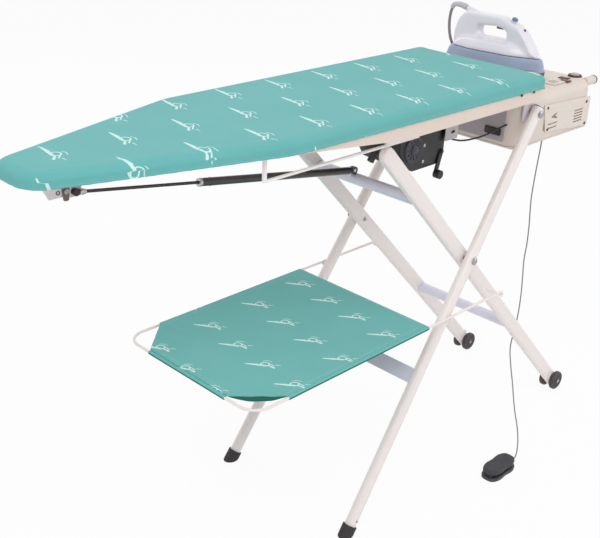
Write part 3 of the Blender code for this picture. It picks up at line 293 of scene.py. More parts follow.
def speckle(start, place, scale, detail=2.0):
    """Noise from 0 to 1 at so many patches a metre."""
    return start.node("ShaderNodeTexNoise", None, {"Vector": place, "Scale": scale, "Detail": detail},
                      "Fac")


def relief(start, height, depth, strength=1.0):
    """A normal from a height in shares of a depth in metres."""
    return start.node("ShaderNodeBump", None, {"Height": height, "Distance": depth, "Strength": strength},
                      "Normal")


def braided(name, main, dark, pitch):
    """Braided or woven sleeve: strands crossing both ways round the cord, with painted shade in the hollows
    between them.
    """
    def finish(start):
        place = start.node("ShaderNodeUVMap", {"uv_map": "cut"})
        split = start.node("ShaderNodeSeparateXYZ", None, {0: place}, "X")
        turn = math.tau / pitch
        left = start.maths("SINE", (split + split["Y"]) * turn)
        right = start.maths("SINE", (split - split["Y"]) * turn)
        strand = left * right * 0.5 + 0.5
        wear_and_shade_patches = speckle(start, place, 60.0)
        # Painted shade: the hollows between strands take the dark colour, and the strand tops darken more
        # or less in patches.
        colour = mixed(start, strand * (0.55 + wear_and_shade_patches * 0.5), dark, main)
        return {"Base Color": colour, "Roughness": 0.62 + wear_and_shade_patches * 0.2,
                "Normal": relief(start, strand, 0.0003, 0.6)}
    return principled(name, {"Sheen Weight": 0.1}, finish)


def smooth_sleeve(name, main, dark, rough):
    """Extruded plastic sleeve: slight waves along it and a soft dusty change of tone."""
    def finish(start):
        place = start.node("ShaderNodeTexCoord", out="Object")
        dust = speckle(start, place, 45.0)
        fine = speckle(start, place, 1400.0)
        return {"Base Color": mixed(start, dust, main, dark), "Roughness": rough + fine * 0.15,
                "Normal": relief(start, fine, 0.00004, 0.5)}
    return principled(name, {}, finish)


hose_braid = braided("hose_braid", shade("A79FA4"), shade("6E676D"), 0.0022)
cable_sleeve = smooth_sleeve("cable_sleeve", shade("8E8A8C"), shade("77737A"), 0.45)
lead_sleeve = smooth_sleeve("lead_sleeve", shade("2A2729"), shade("1C1A1C"), 0.42)

hose_diameter, hose_turns_down, hose_turns_back, half_turn, turn_points = 0.007, 3.25, 3.0, 0.5, 24
deck_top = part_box("housing_shell")[1].z
coil_middle, coil_mean_radius, clear = Vector((0.660, 0.066)), 0.0355, 0.0003
pitch = hose_diameter + 0.0007
inner_radius, coil_start, route_spacing = coil_mean_radius - hose_turns_down * pitch / 2, 150, 0.006
low_layer = deck_top + clear + hose_diameter / 2
coil = []
for index in range(round((hose_turns_down + half_turn + hose_turns_back) * turn_points) + 1):
    turn = index / turn_points
    drop = min(max((turn - hose_turns_down) / half_turn, 0.0), 1.0)
    radius = inner_radius + pitch * (abs(turn - hose_turns_down - half_turn / 2) - half_turn / 2)
    height = low_layer + pitch * (1 + math.cos(math.pi * drop)) / 2
    angle = math.radians(coil_start) + math.tau * turn
    coil.append(Vector((coil_middle.x + radius * math.cos(angle),
                        coil_middle.y + radius * math.sin(angle), height)))
lead_in, lead_out = (coil[0] - coil[1]).normalized(), (coil[-1] - coil[-2]).normalized()
coil = [coil[0] + lead_in * hose_diameter] + coil + [coil[-1] + lead_out * 3 * hose_diameter]
drop_points = ((0.5650, 0.1822, 0.9929), (0.5650, 0.1842, 0.9870), (0.5652, 0.1864, 0.9770),
               (0.5665, 0.1882, 0.9600), (0.5690, 0.1880, 0.9400), (0.5735, 0.1858, 0.9200),
               (0.5810, 0.1815, 0.9020), (0.5925, 0.1755, 0.8890), (0.6070, 0.1675, 0.8805),
               (0.6210, 0.1565, 0.8760), (0.6305, 0.1430, 0.8742))
drop_route = [Vector(p) for p in drop_points]
drop_route += [coil[0] + lead_in * hose_diameter * 2, coil[0] + lead_in * hose_diameter]
hose_route = smooth_route(drop_route, route_spacing)[:-1]
hose_route += [coil[0] + lead_in * hose_diameter * 0.5] + coil
steam_hose = tube("steam_hose", hose_route, hose_diameter / 2, hose_braid, 14)
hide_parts("iron_hose", "hose_coil")
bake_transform(steam_hose)

cable_diameter = 0.003
pedal_low, pedal_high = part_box("pedal_base")
cable_end = Vector((pedal_high.x + clear, (pedal_low.y + pedal_high.y) / 2, 0.0045))
cable_route = [(0.5450, -0.1250, 0.745), (0.5450, -0.1250, 0.723), (0.5400, -0.1260, 0.690),
               (0.5310, -0.1285, 0.640), (0.5280, -0.1295, 0.590), (0.5345, -0.1300, 0.525),
               (0.5365, -0.1300, 0.477), (0.5335, -0.1300, 0.435), (0.5380, -0.1300, 0.390),
               (0.5425, -0.1300, 0.345), (0.5440, -0.1295, 0.300), (0.5415, -0.1290, 0.262),
               (0.5290, -0.1310, 0.222), (0.5060, -0.1430, 0.198), (0.4810, -0.1650, 0.174),
               (0.4600, -0.1900, 0.138), (0.4420, -0.2100, 0.108), (0.4300, -0.2260, 0.082),
               (0.4250, -0.2380, 0.058), (0.4180, -0.2490, 0.036), (0.4020, -0.2620, 0.018),
               (0.3780, -0.2750, 0.007), tuple(cable_end + Vector((4 * cable_diameter, 0.0, 0.0))),
               tuple(cable_end)]
cable_route = smooth_route(cable_route, route_spacing)
pedal_cable = tube("foot_switch_cable", cable_route, cable_diameter / 2, cable_sleeve, 10)
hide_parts("pedal_cable")
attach(pedal_cable, "table")

fan_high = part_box("fan_cover_near")[1]
housing_low, housing_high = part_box("housing_shell")
lead_diameter = 0.004
lead_route = [(fan_high.x + clear, -0.062, 0.800), (0.225, -0.063, 0.7985), (0.250, -0.068, 0.786),
              (0.290, -0.080, 0.775), (0.335, -0.100, 0.781), (0.375, -0.113, 0.794),
              (0.390, -0.116, 0.798), (housing_low.x - clear, -0.116, 0.798)]
lead_route = smooth_route(lead_route, 0.005)
fan_lead = tube("fan_power_lead", lead_route, lead_diameter / 2, lead_sleeve, 10)
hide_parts("fan_lead")
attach(fan_lead, "table")


# ---------------------------------------------------------------------------------------------------
# Sheet-steel pan of the board: pressed, folded up all round and powder coated cream, with the
# perforated zinc plate lying on its rim. Push pins hold the cover's hem to its near rear corner.
# ---------------------------------------------------------------------------------------------------
def coat(name, main, other, rough, patch, grain, depth, fixed=None, metal=False):
    """Paint, moulding or metal: two near tones in soft patches, and a fine skin in gloss and relief."""
    def finish(start):
        place = start.node("ShaderNodeTexCoord", out="Object")
        tone = speckle(start, place, patch, 4.0)
        skin = speckle(start, place, grain)
        rubbed = speckle(start, place, patch * 7.0, 5.0)
        made = {"Base Color": mixed(start, tone * 0.7 + rubbed * 0.3, main, other),
                "Roughness": rough + rubbed * 0.12 + skin * 0.08 - 0.10,
                "Normal": relief(start, skin * 0.7 + rubbed * 0.3, depth)}
        if metal:
            made["Metallic"] = 1.0 - rubbed * 0.15
        return made
    return principled(name, fixed or {}, finish)


def dress(node, material):
    """Give a CAD node its finish."""
    for held in nodes[node].material_slots:
        held.material = material


def merged_copy(node):
    """A work mesh of a CAD node with its loose triangles joined and its flat faces made whole."""
    work = bmesh.new()
    work.from_mesh(nodes[node].data)
    bmesh.ops.remove_doubles(work, verts=work.verts, dist=0.00001)
    bmesh.ops.dissolve_limit(work, angle_limit=math.radians(1.0), verts=work.verts, edges=work.edges)
    return work


def plain(piece):
    """The piece with its modifiers applied."""
    graph = bpy.context.evaluated_depsgraph_get()
    mesh = bpy.data.meshes.new_from_object(piece.evaluated_get(graph))
    piece.modifiers.clear()
    piece.data = mesh
    return piece


def thickened(piece, thick, offset=-1.0, under=0):
    """The skin made a solid sheet, with its under side in the material slot of that number."""
    sheet = piece.modifiers.new("sheet", "SOLIDIFY")
    sheet.thickness, sheet.offset, sheet.material_offset = thick, offset, under
    return plain(piece)


def eased(node, body, material, width, segments=2):
    """The CAD node again with its sharp edges rounded by a small radius."""
    name = node + "_eased"
    piece = piece_of(name, mesh_of(name, merged_copy(node)), material)
    bevel = piece.modifiers.new("edge", "BEVEL")
    bevel.width, bevel.segments, bevel.limit_method = width, segments, "ANGLE"
    bevel.angle_limit, bevel.harden_normals = math.radians(32), True
    plain(piece)
    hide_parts(node)
    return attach(piece, body)


def tree_of(name, sizes):
    """A geometry tree with a named input for each size, and where its sums start."""
    tree = bpy.data.node_groups.new(name, "GeometryNodeTree")
    tree.interface.new_socket("Geometry", in_out="INPUT", socket_type="NodeSocketGeometry")
    for size in sizes:
        tree.interface.new_socket(size, in_out="INPUT", socket_type="NodeSocketFloat")
    tree.interface.new_socket("Material", in_out="INPUT", socket_type="NodeSocketMaterial")
    tree.interface.new_socket("Geometry", in_out="OUTPUT", socket_type="NodeSocketGeometry")
    return tree, Wire(tree).node("NodeGroupInput", out="Geometry")


def close_tree(entry, shapes):
    """Realize what the tree made, give it its material and send it out."""
    real = entry.node("GeometryNodeRealizeInstances", None, {"Geometry": shapes})
    held = entry.node("GeometryNodeSetMaterial", None, {"Geometry": real, "Material": entry["Material"]})
    entry.node("NodeGroupOutput", None, {"Geometry": held})


def grown(name, host, tree, sizes, material, body, smooth=False):
    """What a geometry tree makes of a host mesh, kept as a plain mesh that rides on a body."""
    holder = linked(name + "_host", host)
    step = holder.modifiers.new("tree", "NODES")
    step.node_group = tree
    for item in tree.interface.items_tree:
        if item.in_out == "INPUT" and item.name in sizes:
            step[item.identifier] = sizes[item.name]
        if item.in_out == "INPUT" and item.name == "Material":
            step[item.identifier] = material
    graph = bpy.context.evaluated_depsgraph_get()
    mesh = bpy.data.meshes.new_from_object(holder.evaluated_get(graph))
    mesh.name = name
    holder.modifiers.remove(step)
    bpy.data.objects.remove(holder, do_unlink=True)
    piece = piece_of(name, mesh, material, smooth)
    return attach(piece, body)


def marks(places, facing, turns=None):
    """A host mesh of single points, each with the way that it faces and its turn about that way."""
    host = bpy.data.meshes.new("marks")
    host.from_pydata([tuple(p) for p in places], [], [])
    host.attributes.new("facing", "FLOAT_VECTOR", "POINT")
    host.attributes.new("spin", "FLOAT", "POINT")
    for index in range(len(places)):
        host.attributes["facing"].data[index].vector = facing[index] if isinstance(facing, list) else facing
        host.attributes["spin"].data[index].value = turns[index] if turns else 0.0
    return host


def placed(entry, shape):
    """Instances of a shape on the points, each turned to its facing and its spin."""
    facing = entry.node("GeometryNodeInputNamedAttribute", {"data_type": "FLOAT_VECTOR"},
                        {"Name": "facing"}, "Attribute")
    spin = entry.node("GeometryNodeInputNamedAttribute", {"data_type": "FLOAT"}, {"Name": "spin"},
                      "Attribute")
    turned_to = entry.node("FunctionNodeAlignRotationToVector", {"axis": "Z"}, {"Vector": facing})
    about = entry.node("FunctionNodeAxisAngleToRotation", None, {"Axis": (0.0, 0.0, 1.0), "Angle": spin})
    both = entry.node("FunctionNodeRotateRotation", {"rotation_space": "LOCAL"},
                      {"Rotation": turned_to, "Rotate By": about})
    points = entry.node("GeometryNodeMeshToPoints", None, {"Mesh": entry})
    return entry.node("GeometryNodeInstanceOnPoints", None,
                      {"Points": points, "Instance": shape, "Rotation": both})


# A cross-head screw: a low round head, chamfered, with its recess cut by two crossing bars
screw_tree, entry = tree_of("cross_head_screws", ("Radius", "Height", "Recess"))
head = entry.node("GeometryNodeMeshCylinder", None,
                  {"Vertices": 20, "Radius": entry["Radius"], "Depth": entry["Height"] * 2.0}, "Mesh")
crown = entry.node("GeometryNodeMeshCone", None,
                   {"Vertices": 20, "Radius Bottom": entry["Radius"], "Radius Top": entry["Radius"] * 0.72,
                    "Depth": entry["Height"] * 0.5}, "Mesh")
lift = entry.node("ShaderNodeCombineXYZ", None, {"Z": entry["Height"]})
crown = entry.node("GeometryNodeTransform", None, {"Geometry": crown, "Translation": lift})
long, slim, deep = entry["Radius"] * 1.15, entry["Radius"] * 0.24, entry["Recess"] * 2.0
bar_sizes = [entry.node("ShaderNodeCombineXYZ", None, {"X": x, "Y": y, "Z": deep})
             for x, y in ((long, slim), (slim, long))]
bars = [entry.node("GeometryNodeMeshCube", None, {"Size": size}, "Mesh") for size in bar_sizes]
top_of = entry.node("ShaderNodeCombineXYZ", None, {"Z": entry["Height"] * 1.5})
bars = [entry.node("GeometryNodeTransform", None, {"Geometry": bar, "Translation": top_of}) for bar in bars]
body_of_screw = entry.node("GeometryNodeMeshBoolean", {"operation": "UNION"}, {"Mesh 2": [head, crown]},
                           "Mesh")
cut_screw = entry.node("GeometryNodeMeshBoolean", {"operation": "DIFFERENCE"},
                       {"Mesh 1": body_of_screw, "Mesh 2": bars}, "Mesh")
close_tree(entry, placed(entry, cut_screw))


def screws(name, places, facing, radius, height, recess, material, body):
    """Cross-head screws seated at these places."""
    sizes = {"Radius": radius, "Height": height, "Recess": recess}
    return grown(name, marks(places, facing), screw_tree, sizes, material, body)


nearwards, farwards, upwards = (0.0, -1.0, 0.0), (0.0, 1.0, 0.0), (0.0, 0.0, 1.0)
pan_cream = coat("pan_cream", shade("E9DACF"), shade("DFCDC2"), 0.42, 9.0, 900.0, 0.00003)
zinc_plate = coat("zinc_plate", shade("A9ABAD"), shade("8F9296"), 0.38, 30.0, 500.0, 0.00003, metal=True)
pin_brown = coat("pin_brown", shade("4A3B3A"), shade("35292A"), 0.4, 200.0, 2000.0, 0.00002)
dress("board_pan", pan_cream)
dress("perforated_plate", zinc_plate)
cover_low, cover_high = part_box("cover")
pin_proud, pin_drop = 0.0012, 0.0070
pin_row = [(x, y - pin_proud, cover_low.z - pin_drop) for x, y in
           ((0.344, cover_low.y), (0.390, cover_low.y), (0.4395, cover_low.y + 0.0072))]
screws("hem_pins", pin_row, [nearwards, nearwards, (0.6, -0.8, 0.0)], 0.0028, 0.0011, 0.0004, pin_brown,
       "table")


# ---------------------------------------------------------------------------------------------------
# Felt pad: needled grey-cream felt cut a little smaller than the pan, soft and rounded at its edge.
# It lies on the perforated plate and lets the steam through.
# ---------------------------------------------------------------------------------------------------
def rounded(corners, steps=4):
    """Points round a closed outline of (x, y, radius) corners."""
    points = []
    for index, (x, y, radius) in enumerate(corners):
        corner = Vector((x, y))
        before = (Vector(corners[index - 1][:2]) - corner).normalized()
        after = (Vector(corners[(index + 1) % len(corners)][:2]) - corner).normalized()
        if radius <= 0:
            points.append(corner)
            continue
        half = before.angle(after) / 2
        centre = corner + (before + after).normalized() * (radius / math.sin(half))
        first_way = corner + before * (radius / math.tan(half)) - centre
        last_way = corner + after * (radius / math.tan(half)) - centre
        first = math.atan2(first_way.y, first_way.x)
        turn = (math.atan2(last_way.y, last_way.x) - first + math.pi) % math.tau - math.pi
        for step in range(steps + 1):
            angle = first + turn * step / steps
            points.append(centre + Vector((math.cos(angle), math.sin(angle))) * radius)
    return points


def evenly(points, count):
    """So many points spaced evenly round a closed outline, from its first point."""
    closed = points + [points[0]]
    total = sum((q - p).length for p, q in zip(closed, closed[1:]))
    made, run = [], 0.0
    for p, q in zip(closed, closed[1:]):
        step = (q - p).length
        while len(made) < count and run + step >= total * len(made) / count - 1e-9:
            made.append(p.lerp(q, (total * len(made) / count - run) / step if step else 0.0))
        run += step
    return made


nose_x, rear_x = cover_low.x, cover_high.x
board_half = cover_high.y
table_height = cover_high.z


def board_outline():
    """The board's plan, from the middle of its nose."""
    taper_length, nose_half = 0.427, 0.056
    corners = [(nose_x, 0.0, 0.0), (nose_x, -nose_half, 0.050), (nose_x + taper_length, -board_half, 0.160),
               (rear_x, -board_half, 0.018), (rear_x, 0.0, 0.0), (rear_x, board_half, 0.018),
               (nose_x + taper_length, board_half, 0.160), (nose_x, nose_half, 0.050)]
    return evenly(rounded(corners, 24), 400)


def outward(outline):
    """The way out of a closed outline at each of its points."""
    ways = []
    for index in range(len(outline)):
        along = outline[(index + 1) % len(outline)] - outline[index - 1]
        way = Vector((along.y, -along.x)).normalized()
        ways.append(way)
    if sum(p.dot(w) for p, w in zip(outline, ways)) < 0:
        ways = [-w for w in ways]
    return ways


plan = board_outline()
plan_out = outward(plan)
spine_start, spine_end = nose_x + 0.13, rear_x - 0.14


def spine_of(point):
    """The point on the board's middle line that an edge point looks in to."""
    return Vector((min(max(point.x, spine_start), spine_end), 0.0))


def drawn_in(point, way, inset):
    """An edge point moved towards the middle line until it lies so far inside the edge."""
    inwards = spine_of(point) - point
    return point + inwards * (inset / -inwards.dot(way))


def mended(work, near, sliver):
    """The work mesh with doubled points joined, slivers taken out and its faces turned outwards."""
    bmesh.ops.remove_doubles(work, verts=work.verts, dist=near)
    bmesh.ops.dissolve_degenerate(work, edges=work.edges, dist=sliver)
    bmesh.ops.recalc_face_normals(work, faces=work.faces)
    return work


def layered(name, rings, close_bottom=False):
    """A skin through rings of the board's plan, given as (x, y, z, cut x, cut y) for each point."""
    work = bmesh.new()
    layer = work.loops.layers.uv.new("cut")
    rows = [[work.verts.new(p[:3]) for p in ring] for ring in rings]
    for level_at in range(len(rows) - 1):
        upper, lower = rows[level_at], rows[level_at + 1]
        for index in range(len(upper)):
            after = (index + 1) % len(upper)
            face = work.faces.new((upper[index], lower[index], lower[after], upper[after]))
            corners = ((level_at, index), (level_at + 1, index), (level_at + 1, after), (level_at, after))
            for loop, (ring, at) in zip(face.loops, corners):
                loop[layer].uv = rings[ring][at][3:5]
    if close_bottom:
        work.faces.new(rows[-1])
    return mesh_of(name, mended(work, 0.00002, 0.00001))


def board_rings(inset, top, roll, drop, inner_steps=26, roll_steps=6, crown=None):
    """Rings over the board's top from its middle line out, then down round its rolled edge."""
    rings = []
    for step in range(inner_steps + 1):
        share = 1.0 - (1.0 - step / inner_steps) ** 1.6
        ring = []
        for point, way in zip(plan, plan_out):
            edge = drawn_in(point, way, inset + roll)
            here = spine_of(point).lerp(edge, share)
            rise = crown(here, share) if crown else 0.0
            ring.append((here.x, here.y, top + rise, here.x, here.y))
        rings.append(ring)
    for step in range(1, roll_steps + 1):
        angle = math.pi / 2 * step / roll_steps
        ring = []
        for point, way in zip(plan, plan_out):
            here = drawn_in(point, way, inset + roll * (1 - math.sin(angle)))
            flat = drawn_in(point, way, inset + roll) + way * (roll + drop) / 2 * angle
            ring.append((here.x, here.y, top - drop * (1 - math.cos(angle)), flat.x, flat.y))
        rings.append(ring)
    return rings


def felted(name, main, other):
    """Needled felt: matted fibres in every direction, with soft lumps."""
    def finish(start):
        place = start.node("ShaderNodeTexCoord", out="Object")
        fibres = start.node("ShaderNodeTexNoise", None, {"Vector": place, "Scale": 900.0, "Detail": 6.0,
                                                         "Distortion": 2.5}, "Fac")
        lumps = speckle(start, place, 60.0, 3.0)
        return {"Base Color": mixed(start, fibres * 0.6 + lumps * 0.4, main, other),
                "Roughness": 0.92 + lumps * 0.06,
                "Normal": relief(start, fibres * 0.5 + lumps * 0.5, 0.0008)}
    return principled(name, {"Sheen Weight": 0.25}, finish)


pad_low, pad_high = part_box("felt_pad")
pad_inset, pad_roll, pad_drop = rear_x - pad_high.x, 0.032, 0.0095
pad_rings = board_rings(pad_inset, pad_high.z - 0.0022, pad_roll, pad_drop, 14, 8,
                        lambda at, share: 0.0004 * noise.noise((at.x * 14, at.y * 14, 0.0)))
foot_ring = [(x, y, pad_low.z + 0.002, u, v) for x, y, z, u, v in pad_rings[-1]]
sole_ring = [(p.x - w.x * (pad_inset + 0.002), p.y - w.y * (pad_inset + 0.002), pad_low.z, p.x, p.y)
             for p, w in zip(plan, plan_out)]
pad_mesh = layered("felt_padding", pad_rings + [foot_ring, sole_ring], close_bottom=True)
felt_padding = piece_of("felt_padding", pad_mesh, felted("needled_felt", shade("D8D2C6"), shade("C4BCAE")))
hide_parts("felt_pad")
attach(felt_padding, "table")


# ---------------------------------------------------------------------------------------------------
# Fitted cover: plain-woven teal cotton with a pale print, pulled tight over the pad, rolled round
# the edge and gathered by a drawn hem just below it, with a row of lock stitches above the hem.
# ---------------------------------------------------------------------------------------------------
def printed_cloth(name, first, along, across, reading, main, light, ink_colour, size=1.0):
    """Plain weave with a small sprig printed on a slanted lattice, read along one direction."""
    def finish(start):
        place = start.node("ShaderNodeUVMap", {"uv_map": "cut"})
        x = start.node("ShaderNodeSeparateXYZ", None, {0: place}, "X")
        y = x["Y"]
        turn = along[0] * across[1] - along[1] * across[0]
        column = ((x - first[0]) * across[1] - (y - first[1]) * across[0]) * (1 / turn)
        row = ((y - first[1]) * along[0] - (x - first[0]) * along[1]) * (1 / turn)
        column = start.maths("FRACT", column + 0.5) - 0.5
        row = start.maths("FRACT", row + 0.5) - 0.5
        near_x = column * along[0] + row * across[0]
        near_y = column * along[1] + row * across[1]
        s = (near_x * reading[0] + near_y * reading[1]) * (0.86 / size)
        t = (near_y * reading[0] - near_x * reading[1]) * (0.98 / size)

        def stroke(from_s, from_t, to_s, to_t, thick, thin):
            run_s, run_t = to_s - from_s, to_t - from_t
            square = run_s * run_s + run_t * run_t
            share = clamped(((s - from_s) * run_s + (t - from_t) * run_t) * (1 / square))
            off_s, off_t = s - from_s - share * run_s, t - from_t - share * run_t
            return (off_s * off_s + off_t * off_t) ** 0.5 - thick * 1.35 - share * ((thin - thick) * 1.35)

        def hoop(at_s, at_t, radius, half):
            off_s, off_t = s - at_s, t - at_t
            return abs((off_s * off_s + off_t * off_t) ** 0.5 - radius) - half * 1.3

        drawn = [stroke(-0.036, 0.0005, -0.006, -0.0035, 0.0008, 0.0024),
                 stroke(-0.034, 0.0020, -0.012, 0.0010, 0.0006, 0.0010),
                 hoop(0.0030, 0.0010, 0.0085, 0.0010),
                 stroke(-0.004, -0.0020, 0.013, -0.0075, 0.0013, 0.0009),
                 stroke(0.009, -0.0040, 0.021, -0.0150, 0.0010, 0.0019),
                 stroke(0.0125, 0.0030, 0.021, -0.0065, 0.0008, 0.0010),
                 stroke(0.025, -0.0020, 0.034, -0.0025, 0.0009, 0.0005),
                 stroke(-0.002, 0.0150, 0.007, 0.0175, 0.0005, 0.0007),
                 stroke(0.007, 0.0175, 0.016, 0.0135, 0.0007, 0.0005)]
        nearest = drawn[0]
        for other in drawn[1:]:
            nearest = start.maths("MINIMUM", nearest, other)
        edge_width, thread_pitch = 0.0008, 0.0011
        ink = clamped(0.5 - nearest * (1 / edge_width))
        threads = math.tau / thread_pitch
        weave = start.maths("SINE", x * threads) * start.maths("SINE", y * threads)
        slubs = speckle(start, place, 260.0, 5.0)
        # Painted light and shade of soft folds: large patches between the main and the lighter tone.
        fold_shading_patches = speckle(start, place, 7.0, 3.0)
        ground = mixed(start, fold_shading_patches, main, light)
        ground = mixed(start, slubs * 0.25, ground, shade("4E9995"))
        return {"Base Color": mixed(start, ink * (0.72 + slubs * 0.36), ground, ink_colour),
                "Roughness": 0.86 + slubs * 0.1,
                "Normal": relief(start, weave * 0.3 + slubs * 0.7, 0.00022, 0.8)}
    return principled(name, {"Sheen Weight": 0.12, "Sheen Roughness": 0.5}, finish)


cover_cloth = printed_cloth("teal_cotton_print", (0.171, 0.102), (0.1290, -0.0045), (0.0640, -0.1190),
                            (0.0, -1.0), shade("62B1B0"), shade("6FBDBB"), shade("D6F3F1"), 1.0)
cover_thickness = 0.0014
roll, drop = 0.028, 0.013


def cover_rise(at, share):
    """Gentle hollows and pulls of cloth drawn over felt."""
    wide = noise.noise((at.x * 6, at.y * 9, 1.0)) * 0.0007
    fine = noise.noise((at.x * 23, at.y * 17, 4.0)) * 0.00025
    return -0.0009 + (wide + fine) * (1 - share ** 6)


cover_rings = board_rings(0.0, table_height, roll, drop, 26, 9, cover_rise)
skirt_depth = table_height - drop - cover_low.z
skirt_steps = 9
for step in range(1, skirt_steps + 1):
    share = step / skirt_steps
    ring = []
    for index, (point, way) in enumerate(zip(plan, plan_out)):
        gather = 0.5 + 0.5 * math.sin(index * 1.7 + 3 * noise.noise((index * 0.11, 0.0, 0.0)))
        puff = 0.0011 * share ** 2 * gather + 0.0007 * math.exp(-((share - 0.93) / 0.07) ** 2)
        here = point + way * puff
        lower = 0.006 * min(max((point.x + 0.33) / 0.77, 0.0), 1.0)
        flat = point + way * ((roll + drop) * math.pi / 4 - roll + skirt_depth * share)
        ring.append((here.x, here.y, table_height - drop - (skirt_depth + lower) * share, flat.x, flat.y))
    cover_rings.append(ring)
cover_mesh = layered("fitted_cover", cover_rings)
fitted_cover = piece_of("fitted_cover", cover_mesh, cover_cloth)
thickened(fitted_cover, cover_thickness)
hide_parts("cover")
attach(fitted_cover, "table")

# Lock stitches: short rounded lengths of thread laid end to end along a seam
stitch_tree, entry = tree_of("lock_stitches", ("Pitch", "Thread"))
line = entry.node("GeometryNodeMeshToCurve", None, {"Mesh": entry})
line = entry.node("GeometryNodeResampleCurve", {"mode": "LENGTH"},
                  {"Curve": line, "Length": entry["Pitch"]})
thread = entry.node("GeometryNodeMeshIcoSphere", None, {"Radius": 1.0, "Subdivisions": 1}, "Mesh")
thread_size = entry.node("ShaderNodeCombineXYZ", None, {"X": entry["Pitch"] * 0.42, "Y": entry["Thread"],
                                                       "Z": entry["Thread"]})
along_seam = entry.node("GeometryNodeInputTangent")
seam_turn = entry.node("FunctionNodeAlignRotationToVector", {"axis": "X"}, {"Vector": along_seam})
laid = entry.node("GeometryNodeInstanceOnPoints", None, {"Points": line, "Instance": thread,
                                                         "Rotation": seam_turn, "Scale": thread_size})
close_tree(entry, laid)


def seam(points, closed=False):
    """A host mesh of edges along a seam."""
    host = bpy.data.meshes.new("seam")
    edges = [(index, index + 1) for index in range(len(points) - 1)]
    host.from_pydata([tuple(p) for p in points], edges + ([(len(points) - 1, 0)] if closed else []), [])
    return host


def stitches(name, points, pitch, thread, body, closed=False):
    """A row of lock stitches along a seam."""
    sizes = {"Pitch": pitch, "Thread": 0.0003}
    return grown(name, seam(points, closed), stitch_tree, sizes, thread, body)


def yarn(name, colour):
    """Twisted sewing thread, a little glossy."""
    return coat(name, colour, colour, 0.6, 300.0, 3000.0, 0.00003)


cover_thread = yarn("cover_thread", shade("8CCFCD"))
seam_ring = cover_rings[-3]
seam_line = [Vector((x, y, z)) + Vector((w.x, w.y, 0.0)) * 0.0002
             for (x, y, z, _, _), w in zip(seam_ring, plan_out)]
cover_stitches = stitches("cover_hem_stitches", seam_line, 0.0048, cover_thread, "table", True)


# ---------------------------------------------------------------------------------------------------
# Round outer legs: 25 mm steel tube, powder coated white, with a moulded cap in the upper end, a
# short black rubber foot, and a flat plate welded across between them.
# ---------------------------------------------------------------------------------------------------
leg_white = coat("leg_white", shade("F2EAE8"), shade("ECE3E1"), 0.36, 14.0, 1100.0, 0.00003,
                 {"Coat Weight": 0.15})
brace_lilac = coat("brace_lilac", shade("EAEAF8"), shade("DFDFEF"), 0.38, 14.0, 1100.0, 0.00003)
foot_rubber = coat("foot_rubber", shade("2B272A"), shade("3A3538"), 0.72, 60.0, 1600.0, 0.00008)
pin_steel = coat("pin_steel", shade("B9B6BA"), shade("98959B"), 0.32, 90.0, 1500.0, 0.00002, metal=True)
cap_white = coat("cap_white", shade("F3EEEE"), shade("E8E0E1"), 0.42, 40.0, 1500.0, 0.00002)


def spun(name, profile, centre, axis, material, body, sides=40, closed=False):
    """A turned piece: (radius, height) points spun about an axis through its centre."""
    work = bmesh.new()
    turn_to = Vector(axis).to_track_quat("Z", "Y").to_matrix()
    rows = []
    for radius, height in profile:
        ring = [Vector((radius * math.cos(a), radius * math.sin(a), height))
                for a in (math.tau * side / sides for side in range(sides))]
        rows.append([work.verts.new(Vector(centre) + turn_to @ point) for point in ring])
    pairs = list(zip(rows, rows[1:])) + ([(rows[-1], rows[0])] if closed else [])
    for upper, lower in pairs:
        for index in range(sides):
            after = (index + 1) % sides
            work.faces.new((upper[index], upper[after], lower[after], lower[index]))
    mesh = mesh_of(name, mended(work, 0.00001, 0.000001))
    piece = piece_of(name, mesh, material)
    mesh.set_sharp_from_angle(angle=math.radians(40))
    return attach(piece, body)


# A bead of weld: a low ring of ripples where two steel pieces meet
weld_tree, entry = tree_of("weld_beads", ("Radius", "Bead", "Ripple"))
ring_line, section = [entry.node("GeometryNodeCurvePrimitiveCircle", None,
                                 {"Resolution": count, "Radius": entry[size]}, "Curve")
                      for count, size in ((56, "Radius"), (7, "Bead"))]
bead = entry.node("GeometryNodeCurveToMesh", None, {"Curve": ring_line, "Profile Curve": section}, "Mesh")
here = entry.node("GeometryNodeInputPosition")
ripples = speckle(entry, here, 420.0, 1.0) - 0.5
normal = entry.node("GeometryNodeInputNormal")
push = entry.node("ShaderNodeVectorMath", {"operation": "SCALE"},
                  {0: normal, "Scale": ripples * entry["Ripple"]})
bead = entry.node("GeometryNodeSetPosition", None, {"Geometry": bead, "Offset": push})
close_tree(entry, placed(entry, bead))


def beads(name, places, facing, sizes, material, body):
    """Round beads of weld or moulding at these places, by their radius, thickness and ripple."""
    sizes = dict(zip(("Radius", "Bead", "Ripple"), sizes))
    return grown(name, marks(places, facing), weld_tree, sizes, material, body, True)


